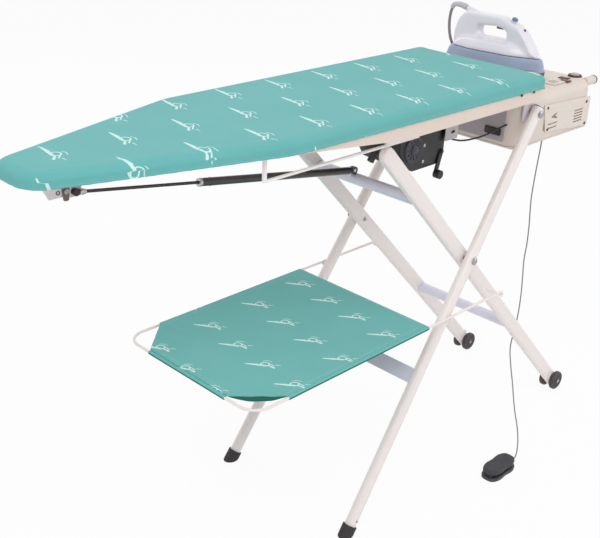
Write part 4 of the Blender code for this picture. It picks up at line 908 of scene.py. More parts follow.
leg_foot, leg_top = Vector((-0.1405, 0.0, 0.0)), Vector((0.441, 0.0, 0.8277))
leg_half_top, leg_half_foot, leg_radius = 0.1615, 0.187, 0.0125
above_pivot, screw_share = 0.016, 0.036
for side_name, side in (("near", -1), ("far", 1)):
    top = leg_top + Vector((0.0, side * leg_half_top, 0.0))
    foot = leg_foot + Vector((0.0, side * leg_half_foot, 0.0))
    way = (top - foot).normalized()
    end = top + way * above_pivot
    dress("round_leg_" + side_name, leg_white)
    dress("foot_" + side_name, foot_rubber)
    cap = [(0.0, 0.0045), (0.0062, 0.0041), (0.0100, 0.0026), (0.0122, 0.0008), (0.0127, 0.0002),
           (0.0127, -0.0001), (0.0, -0.0001)]
    cap_seam = [(0.0122, -0.0004), (0.01275, -0.0006), (0.01275, -0.0016), (0.0122, -0.0018)]
    spun("leg_cap_" + side_name, cap, end, way, cap_white, "round_legs")
    spun("leg_cap_seam_" + side_name, cap_seam, end, way, foot_rubber, "round_legs",
         closed=True)
    for pin in ("top_pivot_pin_", "scissor_pin_"):
        dress(pin + side_name, pin_steel)
    spot = foot.lerp(top, screw_share) + Vector((0.0, side * leg_radius, 0.0))
    screws("foot_screw_" + side_name, [spot], (0.0, float(side), 0.0), 0.0026, 0.0009, 0.0004, pin_steel,
           "round_legs")
eased("leg_brace", "round_legs", brace_lilac, 0.0008)

brace_low, brace_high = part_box("leg_brace")
brace_middle = (brace_low + brace_high) / 2
leg_way = (leg_top - leg_foot).normalized()
weld_length, weld_runs = 0.030, 5
for side_name, side in (("near", -1), ("far", 1)):
    reach = Vector((0.0, side * (brace_high.y - 0.0006), 0.0))
    runs = [brace_middle + leg_way * weld_length * (at / weld_runs - 0.5) + reach
            for at in range(weld_runs + 1)]
    beads("brace_weld_" + side_name, runs, tuple(leg_way), (0.0016, 0.0013, 0.0006), brace_lilac,
          "round_legs")


# ---------------------------------------------------------------------------------------------------
# Inner legs: oval steel tube with rounded ends, joined by two cross tubes, all welded and coated.
# A pair of small brown wheels turns on each axle, so that the folded table can be rolled away.
# ---------------------------------------------------------------------------------------------------
wheel_brown = coat("wheel_brown", shade("3B3234"), shade("4A4043"), 0.46, 70.0, 1500.0, 0.00005)
for side_name in ("near", "far"):
    dress("flat_leg_" + side_name, leg_white)
    dress("wheel_axle_" + side_name, pin_steel)
dress("upper_cross_tube", brace_lilac)
dress("lower_cross_tube", brace_lilac)
for tube_name in ("upper_cross_tube", "lower_cross_tube"):
    tube_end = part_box(tube_name)[1].y
    ends = [vertex.co for vertex in nodes[tube_name].data.vertices
            if abs(abs(vertex.co.y) - tube_end) < 0.0002]
    middle = sum(ends, Vector()) / len(ends)
    spots = [(middle.x, y, middle.z) for y in (0.0006 - tube_end, tube_end - 0.0006)]
    beads(tube_name + "_welds", spots, farwards, (0.0125, 0.0011, 0.0007), brace_lilac, "flat_legs")

# Low bars set round a hub, as on a wheel's face
rib_tree, entry = tree_of("wheel_ribs", ("Count", "Reach", "Length", "Rib width", "Rib height"))
count = entry.node("FunctionNodeFloatToInt", None, {0: entry["Count"]})
circle = entry.node("GeometryNodeMeshCircle", None, {"Vertices": count, "Radius": entry["Reach"]}, "Mesh")
bar_size = entry.node("ShaderNodeCombineXYZ", None, {"X": entry["Length"], "Y": entry["Rib width"],
                                                     "Z": entry["Rib height"]})
bar = entry.node("GeometryNodeMeshCube", None, {"Size": bar_size}, "Mesh")
spot = entry.node("GeometryNodeInputPosition")
outward_turn = entry.node("FunctionNodeAlignRotationToVector", {"axis": "X"}, {"Vector": spot})
rim_points = entry.node("GeometryNodeMeshToPoints", None, {"Mesh": circle})
fan_of_bars = entry.node("GeometryNodeInstanceOnPoints", None, {"Points": rim_points, "Instance": bar,
                                                               "Rotation": outward_turn})
fan_of_bars = entry.node("GeometryNodeRealizeInstances", None, {"Geometry": fan_of_bars})
close_tree(entry, placed(entry, fan_of_bars))


def ribs(name, places, facing, sizes, material, body):
    """Rings of low bars at these places, by their count, reach, length, width and height."""
    sizes = dict(zip(("Count", "Reach", "Length", "Rib width", "Rib height"), sizes))
    return grown(name, marks(places, facing), rib_tree, sizes, material, body)


for side_name, side in (("near", -1), ("far", 1)):
    for place in ("inner", "outer"):
        node = "wheel_" + side_name + "_" + place
        low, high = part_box(node)
        middle, radius, half = (low + high) / 2, (high.z - low.z) / 2, (high.y - low.y) / 2
        bore = 0.0043
        outer = [(bore, half), (0.0080, half), (0.0086, half - 0.0005), (0.0098, half - 0.0016),
                 (radius - 0.0058, half - 0.0016), (radius - 0.0046, half - 0.0004),
                 (radius - 0.0036, half), (radius - 0.0018, half - 0.0004),
                 (radius - 0.0004, half - 0.0020), (radius, half - 0.0040), (radius, 0.0008),
                 (radius - 0.0006, 0.0004)]
        section = outer + [(r, -height) for r, height in reversed(outer)]
        wheel = spun("moulded_" + node, section, middle, farwards, wheel_brown, node, 48,
                     True)
        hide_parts(node)
        faces = [middle + Vector((0.0, s * (half - 0.0012), 0.0)) for s in (-1, 1)]
        ribs(node + "_ribs", faces, [nearwards, farwards], (8.0, 0.0148, 0.0105, 0.0012, 0.0010),
             wheel_brown, node)
    axle_low, axle_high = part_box("wheel_axle_" + side_name)
    middle = (axle_low + axle_high) / 2
    outer_y = axle_low.y if side < 0 else axle_high.y
    clip = [(0.0, 0.0014), (0.0034, 0.0013), (0.0052, 0.0005), (0.0052, 0.0), (0.0, 0.0)]
    spun("axle_clip_" + side_name, clip, (middle.x, outer_y, middle.z), (0, side, 0), pin_steel,
         "flat_legs", 24)


# ---------------------------------------------------------------------------------------------------
# Fixings under the board: folded steel rails and pivot brackets fixed to the pan, the nose channel
# with its latch and eyelet, and the height release with its black rubber grip.
# ---------------------------------------------------------------------------------------------------
fixing_white = coat("fixing_white", shade("E9E2E4"), shade("D9D0D6"), 0.4, 18.0, 1000.0, 0.00003)
latch_brown = coat("latch_brown", shade("7C6A66"), shade("675654"), 0.5, 60.0, 1400.0, 0.00004)
grip_black = coat("grip_black", shade("2A2328"), shade("3A3037"), 0.6, 80.0, 1800.0, 0.00008)
rail_white = coat("rail_white", shade("FAF8F8"), shade("F3F0F1"), 0.45, 18.0, 1000.0, 0.00002)
for side_name in ("near", "far"):
    eased("slide_rail_" + side_name, "table", rail_white, 0.0007)
    eased("pivot_bracket_" + side_name, "table", fixing_white, 0.0007)
eased("nose_bracket", "table", fixing_white, 0.0006)
eased("nose_latch", "nose_latch", latch_brown, 0.0005)
eased("release_lever", "release_lever", grip_black, 0.0006)
latch_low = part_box("nose_latch")[0]
screws("latch_screw", [(-0.672, latch_low.y - 0.0002, 0.867)], nearwards, 0.0044, 0.0014, 0.0006, pin_steel,
       "table")
eyelet = [(0.0022, 0.0006), (0.0030, 0.0010), (0.0038, 0.0006), (0.0040, -0.0002), (0.0022, -0.0002)]
spun("nose_eyelet", eyelet, (-0.6850, -0.0180, 0.8665), nearwards, latch_brown, "table",
     32, True)
bracket_low, bracket_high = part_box("pivot_bracket_near")
spots = [(x, bracket_low.y - 0.0001, bracket_high.z - 0.007)
         for x in (bracket_low.x + 0.008, bracket_high.x - 0.008)]
spots_far = [(x, -y, z) for x, y, z in spots]
screws("bracket_screws", spots + spots_far, [nearwards] * 2 + [farwards] * 2, 0.0032, 0.0012, 0.0005,
       pin_steel, "table")


# ---------------------------------------------------------------------------------------------------
# Gas strut: satin black tube with a crimped, rolled-over front end, a ground black piston rod and a
# bright ferrule where the rod's flat end is screwed on.
# ---------------------------------------------------------------------------------------------------
strut_black = coat("strut_black", shade("2C2A2B"), shade("3A3738"), 0.38, 30.0, 1400.0, 0.00003,
                   {"Coat Weight": 0.2})
rod_black = coat("rod_black", shade("343032"), shade("4A4648"), 0.26, 60.0, 2200.0, 0.00001, metal=True)
ferrule_steel = coat("ferrule_steel", shade("C9C6C8"), shade("AFACAF"), 0.3, 120.0, 2000.0, 0.00002,
                     metal=True)
dress("strut_body", strut_black)
dress("strut_rod", rod_black)
strut_eye, strut_stud = Vector((0.062, 0.030, 0.727)), Vector((-0.623, 0.030, 0.840))
strut_way = (strut_stud - strut_eye).normalized()
ring_at, crimp_at, ferrule_at = 0.432, 0.405, 0.0102
end_ring = [(0.0034, 0.0012), (0.0060, 0.0012), (0.0080, 0.0004), (0.0083, -0.0010), (0.0083, -0.0042),
            (0.0079, -0.0048), (0.0079, -0.0050), (0.0034, 0.0)]
crimp = [(0.0079, 0.0010), (0.0083, 0.0006), (0.0083, -0.0006), (0.0079, -0.0010)]
ferrule = [(0.0031, 0.0040), (0.0052, 0.0038), (0.0058, 0.0030), (0.0058, -0.0030), (0.0052, -0.0040),
           (0.0046, -0.0042), (0.0046, -0.0080), (0.0042, -0.0086), (0.0031, -0.0086)]
spun("strut_end_ring", end_ring, strut_eye + strut_way * ring_at, strut_way, ferrule_steel, "strut_body")
spun("strut_crimp", crimp, strut_eye + strut_way * crimp_at, strut_way, strut_black, "strut_body",
     closed=True)
spun("rod_ferrule", ferrule, strut_stud - strut_way * ferrule_at, strut_way, ferrule_steel, "strut_rod")


# ---------------------------------------------------------------------------------------------------
# Suction fan: two black plastic half-shells screwed together round the impeller, with a raised
# scroll on the near face, bright screws, and a lever with a round knob that turns the flap.
# ---------------------------------------------------------------------------------------------------
fan_black = coat("fan_black", shade("19161A"), shade("211E23"), 0.44, 30.0, 1200.0, 0.00004)
fan_sheen = coat("fan_sheen", shade("22212E"), shade("2C2B3B"), 0.32, 30.0, 1200.0, 0.00003)
motor_steel = coat("motor_steel", shade("9B9A9C"), shade("828184"), 0.36, 60.0, 1500.0, 0.00002, metal=True)
for side_name in ("near", "far"):
    eased("fan_cover_" + side_name, "table", fan_black, 0.0012)
eased("flap_lever", "flap_lever", fan_black, 0.0010, 3)
dress("impeller", fan_sheen)
dress("fan_motor", motor_steel)
fan_axis, fan_face = Vector((0.135, 0.0, 0.803)), -0.0900
scroll_middle = Vector((0.106, fan_face, 0.794))
scroll = [(0.0, 0.0052), (0.0090, 0.0052), (0.0105, 0.0044), (0.0112, 0.0030), (0.0225, 0.0024),
          (0.0255, 0.0034), (0.0275, 0.0034), (0.0292, 0.0020), (0.0300, 0.0001), (0.0, 0.0001)]
spun("fan_scroll", scroll, scroll_middle, nearwards, fan_sheen, "table", 64)
ribs("fan_ribs", [scroll_middle - Vector((0.0, 0.0030, 0.0))], nearwards,
     (12.0, 0.0170, 0.0096, 0.0010, 0.0012), fan_sheen, "table")
screw_places = [(x, fan_face, z) for x, z in ((0.1416, 0.7961), (0.1405, 0.7612), (0.1470, 0.8455),
                                              (0.0850, 0.8500), (0.1900, 0.8500))]
screws("fan_screws", screw_places, nearwards, 0.0036, 0.0012, 0.0006, ferrule_steel, "table")
motor_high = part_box("fan_motor")[1]
ribs("motor_vents", [(fan_axis.x, motor_high.y + 0.0002, fan_axis.z)], farwards,
     (16.0, 0.0200, 0.0120, 0.0016, 0.0008), fan_black, "table")


# ---------------------------------------------------------------------------------------------------
# Steam generator: moulded cream housing hung under the board's rear, with a screwed side panel,
# pressed vents, a dial, two rocker switches, a rubber iron rest, a mains inlet and a round grip.
# ---------------------------------------------------------------------------------------------------
shell_cream = coat("shell_cream", shade("E4D9D1"), shade("D9CCC2"), 0.44, 12.0, 1300.0, 0.00005)
panel_cream = coat("panel_cream", shade("E6DCD4"), shade("DCD1C8"), 0.42, 12.0, 1300.0, 0.00005)
deep_brown = coat("deep_brown", shade("4B3A38"), shade("3A2C2C"), 0.5, 90.0, 1500.0, 0.00004)
shadow_brown = coat("shadow_brown", shade("A8978C"), shade("96867C"), 0.8, 90.0, 900.0, 0.00004)
rest_grey = coat("rest_grey", shade("6C676C"), shade("5B565C"), 0.75, 60.0, 1400.0, 0.00010)
switch_red = coat("switch_red", shade("7A2228"), shade("611A20"), 0.3, 120.0, 1500.0, 0.00002)
dial_pale = coat("dial_pale", shade("CDB4AE"), shade("BFA49E"), 0.4, 120.0, 1500.0, 0.00002)
boiler_brass = coat("boiler_brass", shade("C9A15C"), shade("A9853F"), 0.36, 40.0, 900.0, 0.00003,
                    metal=True)
inlet_black = coat("inlet_black", shade("29262A"), shade("1F1D20"), 0.45, 90.0, 1500.0, 0.00003)


def cut_plate(name, outlines, thick, edge, to_place, material, body):
    """A flat plate with holes cut through it, its edges eased, laid on a plane."""
    curve = bpy.data.curves.new(name, "CURVE")
    curve.dimensions, curve.fill_mode = "2D", "BOTH"
    for outline in outlines:
        spline = curve.splines.new("POLY")
        spline.points.add(len(outline) - 1)
        for point, place in zip(spline.points, outline):
            point.co = (place[0], place[1], 0.0, 1.0)
        spline.use_cyclic_u = True
    curve.extrude, curve.bevel_depth, curve.offset = thick / 2 - edge, edge, -edge
    curve.bevel_resolution = 2
    holder = linked(name + "_curve", curve)
    graph = bpy.context.evaluated_depsgraph_get()
    mesh = bpy.data.meshes.new_from_object(holder.evaluated_get(graph))
    bpy.data.objects.remove(holder, do_unlink=True)
    work = bmesh.new()
    work.from_mesh(mesh)
    bmesh.ops.remove_doubles(work, verts=work.verts, dist=0.00001)
    bmesh.ops.transform(work, matrix=to_place, verts=work.verts)
    bmesh.ops.recalc_face_normals(work, faces=work.faces)
    work.to_mesh(mesh)
    work.free()
    piece = piece_of(name, mesh, material)
    mesh.set_sharp_from_angle(angle=math.radians(30))
    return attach(piece, body)


def bar_outline(x, y, length, width, turn=0.0):
    """Outline of a slot with round ends."""
    half, radius, steps = length / 2 - width / 2, width / 2, 6
    points = []
    for side in (1, -1):
        for step in range(steps + 1):
            a = -math.pi / 2 + math.pi * step / steps
            here = Vector((side * (half + radius * math.cos(a)), side * radius * math.sin(a)))
            points.append(Vector((x + here.x * math.cos(turn) - here.y * math.sin(turn),
                                  y + here.x * math.sin(turn) + here.y * math.cos(turn))))
    return points


def box_outline(low_x, low_y, high_x, high_y, radius=0.0, steps=4):
    """Outline of a rectangle whose corners may be rounded."""
    return rounded([(low_x, low_y, radius), (high_x, low_y, radius), (high_x, high_y, radius),
                    (low_x, high_y, radius)], steps)


def raised(height):
    """What lays a plate on the deck at a height above it."""
    return Matrix.Translation((0, 0, deck_top + height))


near_wall = Matrix(((1, 0, 0, 0), (0, 0, -1, 0), (0, 1, 0, 0), (0, 0, 0, 1)))
shoulder, shoulder_steps, shell_wall = 0.027, 10, 0.0025
shell_line = box_outline(housing_low.x, housing_low.y, housing_high.x, housing_high.y, 0.030, 12)
shell_line = evenly(shell_line, 240)
shell_out = outward(shell_line)
shell_levels = []
for step in range(shoulder_steps + 1):
    angle = math.pi / 2 * step / shoulder_steps
    shell_levels.append((deck_top - 0.0001 - shoulder * (1 - math.cos(angle)),
                         shoulder * (1 - math.sin(angle))))
shell_levels += [(housing_low.z + 0.0030, 0.0), (housing_low.z + 0.0004, 0.0004), (housing_low.z, 0.0012)]
shell_rings = [[(p.x - w.x * inset, p.y - w.y * inset, height, p.x, p.y)
                for p, w in zip(shell_line, shell_out)] for height, inset in reversed(shell_levels)]
shell_mesh = layered("generator_shell", shell_rings, close_bottom=True)
generator_shell = thickened(piece_of("generator_shell", shell_mesh, shell_cream), shell_wall)
generator_shell.data.set_sharp_from_angle(angle=math.radians(50))
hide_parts("housing_shell")
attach(generator_shell, "table")
eased("housing_base", "table", shell_cream, 0.0012)
dress("boiler", boiler_brass)

# Side panel on the near wall, its vents cut through to a darker plate behind them, painted shade in the
# slots
wall_y = housing_low.y
panel_line = rounded([(0.5030, 0.8310, 0.003), (0.7070, 0.8205, 0.003), (0.7065, 0.7490, 0.003),
                      (0.5200, 0.7650, 0.003)])
rear_vents = [(0.659, 0.768 + (0.795 - 0.768) * row / 4) for row in range(5)]
front_vents = [(0.547, 0.7725), (0.547, 0.7820)]
vent_width, screw_seat, hood_seat, hood_lift = 0.0034, 0.0028, 0.0026, 0.0027
vents = [bar_outline(x, z, 0.038, vent_width) for x, z in rear_vents] \
    + [bar_outline(x, z, 0.040, vent_width) for x, z in front_vents]
mark = [Vector(p) for p in ((0.537, 0.7985), (0.549, 0.8030), (0.566, 0.8065), (0.556, 0.7985),
                            (0.566, 0.7915), (0.549, 0.7940))]
# Painted shade: a darker plate behind the vents and the mark, seen through them.
lining = [Vector(p) for p in ((0.512, 0.770), (0.698, 0.756), (0.698, 0.812), (0.512, 0.8235))]
cut_plate("panel_lining", [lining], 0.0006, 0.0001, Matrix.Translation((0, wall_y - 0.0004, 0)) @ near_wall,
          shadow_brown, "table")
cut_plate("side_panel", [panel_line] + vents + [mark], 0.0022, 0.0005,
          Matrix.Translation((0, wall_y - 0.0018, 0)) @ near_wall, panel_cream, "table")
panel_corners = ((0.6900, 0.8100), (0.6950, 0.7560), (0.5180, 0.8230), (0.5270, 0.7705))
screws("panel_screws", [(x, wall_y - screw_seat, z) for x, z in panel_corners], nearwards, 0.0034, 0.0009,
       0.0005, deep_brown, "table")

# Low rounded bars, as the pressed hoods over the upper lip of each slot
hood_tree, entry = tree_of("vent_hoods", ("Length", "Width", "Height"))
body_of_hood = entry.node("GeometryNodeMeshUVSphere", None, {"Segments": 16, "Rings": 8, "Radius": 0.5},
                          "Mesh")
hood_size = entry.node("ShaderNodeCombineXYZ", None, {"X": entry["Length"], "Y": entry["Width"],
                                                      "Z": entry["Height"] * 2.0})
hood = entry.node("GeometryNodeTransform", None, {"Geometry": body_of_hood, "Scale": hood_size})
close_tree(entry, placed(entry, hood))
hood_places = [(x, wall_y - hood_seat, z + hood_lift) for x, z in rear_vents + front_vents]
grown("side_vent_hoods", marks(hood_places, nearwards), hood_tree,
      {"Length": 0.041, "Width": 0.0028, "Height": 0.0012}, panel_cream, "table", True)

# Deck: slanted slots, a small oval badge left blank, the dial with its ring, and the framed rockers
slot_slant = math.radians(68)
slots = [bar_outline(x, -0.104, 0.026, 0.0036, slot_slant) for x in (0.586, 0.595, 0.604)]
# Painted shade: a darker plate under the slots, seen through them.
cut_plate("deck_lining", [box_outline(0.574, -0.121, 0.616, -0.087)], 0.0003, 0.00005, raised(0.0002),
          shadow_brown, "table")
cut_plate("deck_grille", [box_outline(0.570, -0.1235, 0.620, -0.084, 0.004)] + slots, 0.0012, 0.0004,
          raised(0.0010), panel_cream, "table")
oval_length, oval_width = 0.022, 0.013
oval = [Vector((0.4700 + oval_length / 2 * math.cos(a), -0.115 + oval_width / 2 * math.sin(a)))
        for a in (math.tau * step / 40 for step in range(40))]
cut_plate("deck_oval", [oval], 0.0010, 0.0003, raised(0.0005), deep_brown, "table")
dial_low, dial_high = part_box("dial")
dial_middle = (dial_low + dial_high) / 2
dial_seat = Vector((dial_middle.x, dial_middle.y, deck_top))
dial_ring = [(0.0168, -0.0030), (0.0168, 0.0014), (0.0176, 0.0018), (0.0186, 0.0012), (0.0190, -0.0030)]
dial_knob = [(0.0, 0.0044), (0.0112, 0.0044), (0.0118, 0.0056), (0.0134, 0.0064), (0.0148, 0.0060),
             (0.0156, 0.0046), (0.0160, 0.0006), (0.0158, 0.0004), (0.0040, 0.0004), (0.0040, -0.0130),
             (0.0, -0.0130)]
dial_cap = [(0.0, 0.0096), (0.0050, 0.0094), (0.0086, 0.0086), (0.0104, 0.0068), (0.0108, 0.0042),
            (0.0, 0.0042)]
spun("dial_ring", dial_ring, dial_seat, upwards, panel_cream, "table", 48, True)
knob = spun("dial_knob", dial_knob, dial_seat, upwards, deep_brown, "dial", 56)
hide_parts("dial")
spun("dial_cap", dial_cap, dial_seat, upwards, dial_pale, "dial", 40)
ribs("dial_knurls", [dial_seat + Vector((0.0, 0.0, 0.0028))], upwards,
     (30.0, 0.0155, 0.0012, 0.0010, 0.0030), deep_brown, "dial")
frame_rim, frame_gap = 0.0028, 0.0005
for rocker in ("rocker_power", "rocker_steam"):
    eased(rocker, rocker, switch_red, 0.0008)
    low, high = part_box(rocker)
    frame_line = box_outline(low.x - frame_rim, low.y - frame_rim, high.x + frame_rim, high.y + frame_rim,
                             0.002)
    hole = list(reversed(box_outline(low.x - frame_gap, low.y - frame_gap, high.x + frame_gap,
                                     high.y + frame_gap)))
    cut_plate(rocker + "_frame", [frame_line, hole], 0.0016, 0.0004, raised(0.0008), deep_brown, "table")

# Iron rest with its ribs, grip, inlet, gland, front plate
eased("iron_rest", "table", rest_grey, 0.0012)
eased("rear_grip", "table", shell_cream, 0.0010, 3)
grip_low, grip_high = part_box("rear_grip")
grip_middle = (grip_low + grip_high) / 2
grip_rim = [(0.0092, 0.0), (0.0092, 0.0012), (0.0100, 0.0014), (0.0108, 0.0006), (0.0110, -0.0030),
            (0.0106, -0.0034), (0.0100, -0.0030)]
spun("grip_rim", grip_rim, (grip_high.x - 0.0006, grip_middle.y, grip_middle.z), (1, 0, 0), deep_brown,
     "table", 40, True)
eased("mains_inlet", "table", inlet_black, 0.0010)
inlet_low, inlet_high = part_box("mains_inlet")
inlet_middle = (inlet_low + inlet_high) / 2
pin_places = [(inlet_high.x - 0.0010, inlet_middle.y + dy, inlet_middle.z + dz)
              for dy, dz in ((-0.006, -0.002), (0.006, -0.002), (0.0, 0.004))]
grown("inlet_pins", marks(pin_places, (1.0, 0.0, 0.0)), hood_tree,
      {"Length": 0.0022, "Width": 0.0050, "Height": 0.0030}, ferrule_steel, "table")
dress("cable_gland", inlet_black)
front_line = box_outline(-0.112, 0.757, 0.112, 0.838, 0.006)
front_face = Matrix(((0, 0, -1, housing_low.x - 0.0008), (-1, 0, 0, 0), (0, 1, 0, 0), (0, 0, 0, 1)))
front_grey = coat("front_grey", shade("B7AFB4"), shade("A49BA3"), 0.44, 20.0, 1200.0, 0.00004)
cut_plate("front_plate", [front_line], 0.0014, 0.0004, front_face, front_grey, "table")
socket_line = box_outline(0.062, 0.770, 0.104, 0.786, 0.003)
cut_plate("front_socket", [socket_line], 0.0050, 0.0010,
          Matrix.Translation((-0.0026, 0, 0)) @ front_face, inlet_black, "table")
bracket_grey = coat("bracket_grey", shade("C6BFC0"), shade("AFA7AA"), 0.4, 40.0, 1200.0, 0.00003)
clip_line = rounded([(0.200, 0.795, 0.003), (0.243, 0.795, 0.003), (0.243, 0.838, 0.003),
                     (0.218, 0.842, 0.003), (0.218, 0.8615, 0.002), (0.200, 0.8615, 0.002)])
clip_holes = [bar_outline(0.226, 0.828, 0.014, 0.008), bar_outline(0.226, 0.812, 0.014, 0.006)]
cut_plate("fan_clip", [clip_line] + clip_holes, 0.0020, 0.0005,
          Matrix.Translation((0, fan_face - 0.0080, 0)) @ near_wall, bracket_grey, "table")
cut_plate("fan_clip_block", [box_outline(0.207, 0.806, 0.238, 0.834, 0.002, 3)], 0.0060, 0.0008,
          Matrix.Translation((0, fan_face - 0.0036, 0)) @ near_wall, fan_black, "table")


# ---------------------------------------------------------------------------------------------------
# Steam iron on its rest: pale moulded body with a closed handle over a blue-grey skirt and a pressed
# sole, a dark red trigger under the handle and a ribbed relief where the hose enters at the heel.
# ---------------------------------------------------------------------------------------------------
iron_white = coat("iron_white", shade("ECE9EF"), shade("E0DCE6"), 0.26, 20.0, 1500.0, 0.00002,
                  {"Coat Weight": 0.35})
trigger_wine = coat("trigger_wine", shade("80204A"), shade("6A183C"), 0.3, 120.0, 1500.0, 0.00002)


def skirted(name, upper, lower, metal, split, soft):
    """Moulding above a height and pressed aluminium below it."""
    def finish(start):
        place = start.node("ShaderNodeTexCoord", out="Object")
        height = start.node("ShaderNodeSeparateXYZ", None, {0: place}, "Z")
        sole = clamped((split - height) * (1 / soft) + 0.5)
        tone = speckle(start, place, 26.0, 3.0)
        fine = speckle(start, place, 1400.0)
        return {"Base Color": mixed(start, sole, mixed(start, tone, upper, lower), metal), "Metallic": sole,
                "Roughness": 0.34 - sole * 0.06 + tone * 0.08, "Normal": relief(start, fine, 0.00003)}
    return principled(name, {}, finish)


base_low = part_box("iron_base")[0]
skirt_blue = skirted("iron_skirt", shade("A2AEC6"), shade("96A3BC"), shade("C2C3C8"),
                     base_low.z + 0.0045, 0.0004)


def softened(node, body, material, size, rounds, pocket=None):
    """The CAD node again as one fine even skin, relaxed so that its edges flow, with a pocket cut in."""
    name = node + "_soft"
    piece = piece_of(name, mesh_of(name, merged_copy(node)), material)
    fine = piece.modifiers.new("skin", "REMESH")
    fine.mode, fine.voxel_size, fine.use_smooth_shade = "VOXEL", size, True
    ease = piece.modifiers.new("ease", "SMOOTH")
    ease.factor, ease.iterations = 0.5, rounds
    if pocket:
        cut = piece.modifiers.new("pocket", "BOOLEAN")
        cut.operation, cut.solver, cut.object = "DIFFERENCE", "EXACT", pocket
    plain(piece)
    piece.data.shade_smooth()
    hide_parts(node)
    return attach(piece, body)


trigger_low, trigger_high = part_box("iron_trigger")
gap, skin_grain = 0.0006, 0.0013
room_low = trigger_low - Vector((gap, gap, 0.0050))
room_high = trigger_high + Vector((gap, gap, 0.0036))
room = Matrix.LocRotScale((room_low + room_high) / 2, None, room_high - room_low)
pocket_work = bmesh.new()
bmesh.ops.create_cube(pocket_work, size=1.0, matrix=room)
trigger_pocket = linked("trigger_pocket", mesh_of("trigger_pocket", pocket_work))
softened("iron_body", "iron", iron_white, skin_grain, 60, trigger_pocket)
bpy.data.objects.remove(trigger_pocket, do_unlink=True)
softened("iron_base", "iron", skirt_blue, skin_grain, 5)
eased("iron_trigger", "iron_trigger", trigger_wine, 0.0008)
relief_grey = coat("relief_grey", shade("DAD6DE"), shade("C9C4CE"), 0.5, 60.0, 1500.0, 0.00004)
dress("strain_relief", relief_grey)
relief_bend = [(0.565, 0.1400, 1.0013), (0.565, 0.1500, 1.0038), (0.565, 0.1600, 1.0050),
               (0.565, 0.1720, 1.0045), (0.565, 0.1795, 1.0005), (0.565, 0.1820, 0.9950)]
relief_route = smooth_route(relief_bend, 0.0044)
relief_ways = [(relief_route[min(i + 1, len(relief_route) - 1)] - relief_route[max(i - 1, 0)]).normalized()
               for i in range(len(relief_route))]
for name, begin, end, size in (("wide", 0, 3, 0.0066), ("middle", 3, 6, 0.0060), ("slim", 6, 99, 0.0053)):
    beads("relief_ribs_" + name, relief_route[begin:end], relief_ways[begin:end], (size, 0.0008, 0.0),
          relief_grey, "iron")
button_blue = coat("button_blue", shade("6F7FA6"), shade("60709A"), 0.35, 90.0, 1500.0, 0.00002)
button = [(0.0, 0.0028), (0.0050, 0.0026), (0.0068, 0.0014), (0.0072, 0.0), (0.0072, -0.0030),
          (0.0, -0.0030)]
lens = [(0.0, 0.0016), (0.0022, 0.0014), (0.0032, 0.0004), (0.0032, -0.0020), (0.0, -0.0020)]
spun("steam_button", button, (0.565, 0.0000, 0.9945), (0, -0.35, 1.0), button_blue, "iron", 32)
spun("lamp_lens", lens, (0.565, -0.0300, 0.9735), (0, -0.6, 0.8), deep_brown, "iron", 24)
dress("hose_fitting", boiler_brass)


# ---------------------------------------------------------------------------------------------------
# Laundry shelf: white coated wire bent into a frame that hooks on the legs' pins. Its printed cloth
# is lined dark green, sleeved over the side and front wires and held down by a row of stitches.
# ---------------------------------------------------------------------------------------------------
dress("shelf_frame", leg_white)
cloth_low, cloth_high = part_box("shelf_cloth")
shelf_half, shelf_wire, shelf_z, chamfer = cloth_high.y, 0.003, 0.430, 0.085
shelf_ink = printed_cloth("shelf_cotton_print", (0.024, 0.136), (0.1420, 0.0080), (-0.0130, -0.0950),
                          (0.70, -0.71), shade("66B4B1"), shade("72BFBC"), shade("DDF6F4"), 0.85)
lining_green = coat("lining_green", shade("1D6A5C"), shade("175A4E"), 0.85, 60.0, 900.0, 0.00015)
sheet_top = shelf_z + shelf_wire + 0.0013


def turned_under(name, outer, light, lining, turn_z):
    """Cloth turned round a wire: its outer side above a height, its lining below it."""
    def finish(start):
        place = start.node("ShaderNodeTexCoord", out="Object")
        height = start.node("ShaderNodeSeparateXYZ", None, {0: place}, "Z")
        sharpness = 1600.0
        under = clamped((turn_z - height) * sharpness + 0.5)
        tone = speckle(start, place, 90.0)
        fine = speckle(start, place, 900.0)
        return {"Base Color": mixed(start, under, mixed(start, tone, outer, light), lining),
                "Roughness": 0.84 + fine * 0.1, "Normal": relief(start, fine, 0.00015)}
    return principled(name, {}, finish)


sleeve_teal = turned_under("sleeve_teal", shade("66B4B1"), shade("72BFBC"), shade("1D6A5C"),
                           shelf_z + 0.0014)


def sheet_half(x):
    """Half width of the cloth at a place along the shelf."""
    inner = shelf_half - chamfer * 0.9
    share = min(max((x - cloth_low.x) / chamfer, 0.0), 1.0)
    return inner + (shelf_half - inner) * share


def sheet_height(x, across):
    """The cloth hangs a little between its wires and pulls in soft folds towards the front corners."""
    along = (x - cloth_low.x) / (cloth_high.x - cloth_low.x)
    sag = 0.0065 * (1 - across ** 4) * max(math.sin(math.pi * along), 0.0) ** 0.7
    soft = noise.noise((x * 11, across * 3, 2.0)) * 0.0008
    near_corner = math.exp(-((along - 0.12) / 0.12) ** 2) * abs(across) ** 3
    pull = near_corner * math.sin(x * 190 + across * 9) * 0.0006
    edge = min(along, 1 - along) * 12
    return sheet_top - sag + (soft * (1 - across ** 6) + pull) * min(edge, 1.0)


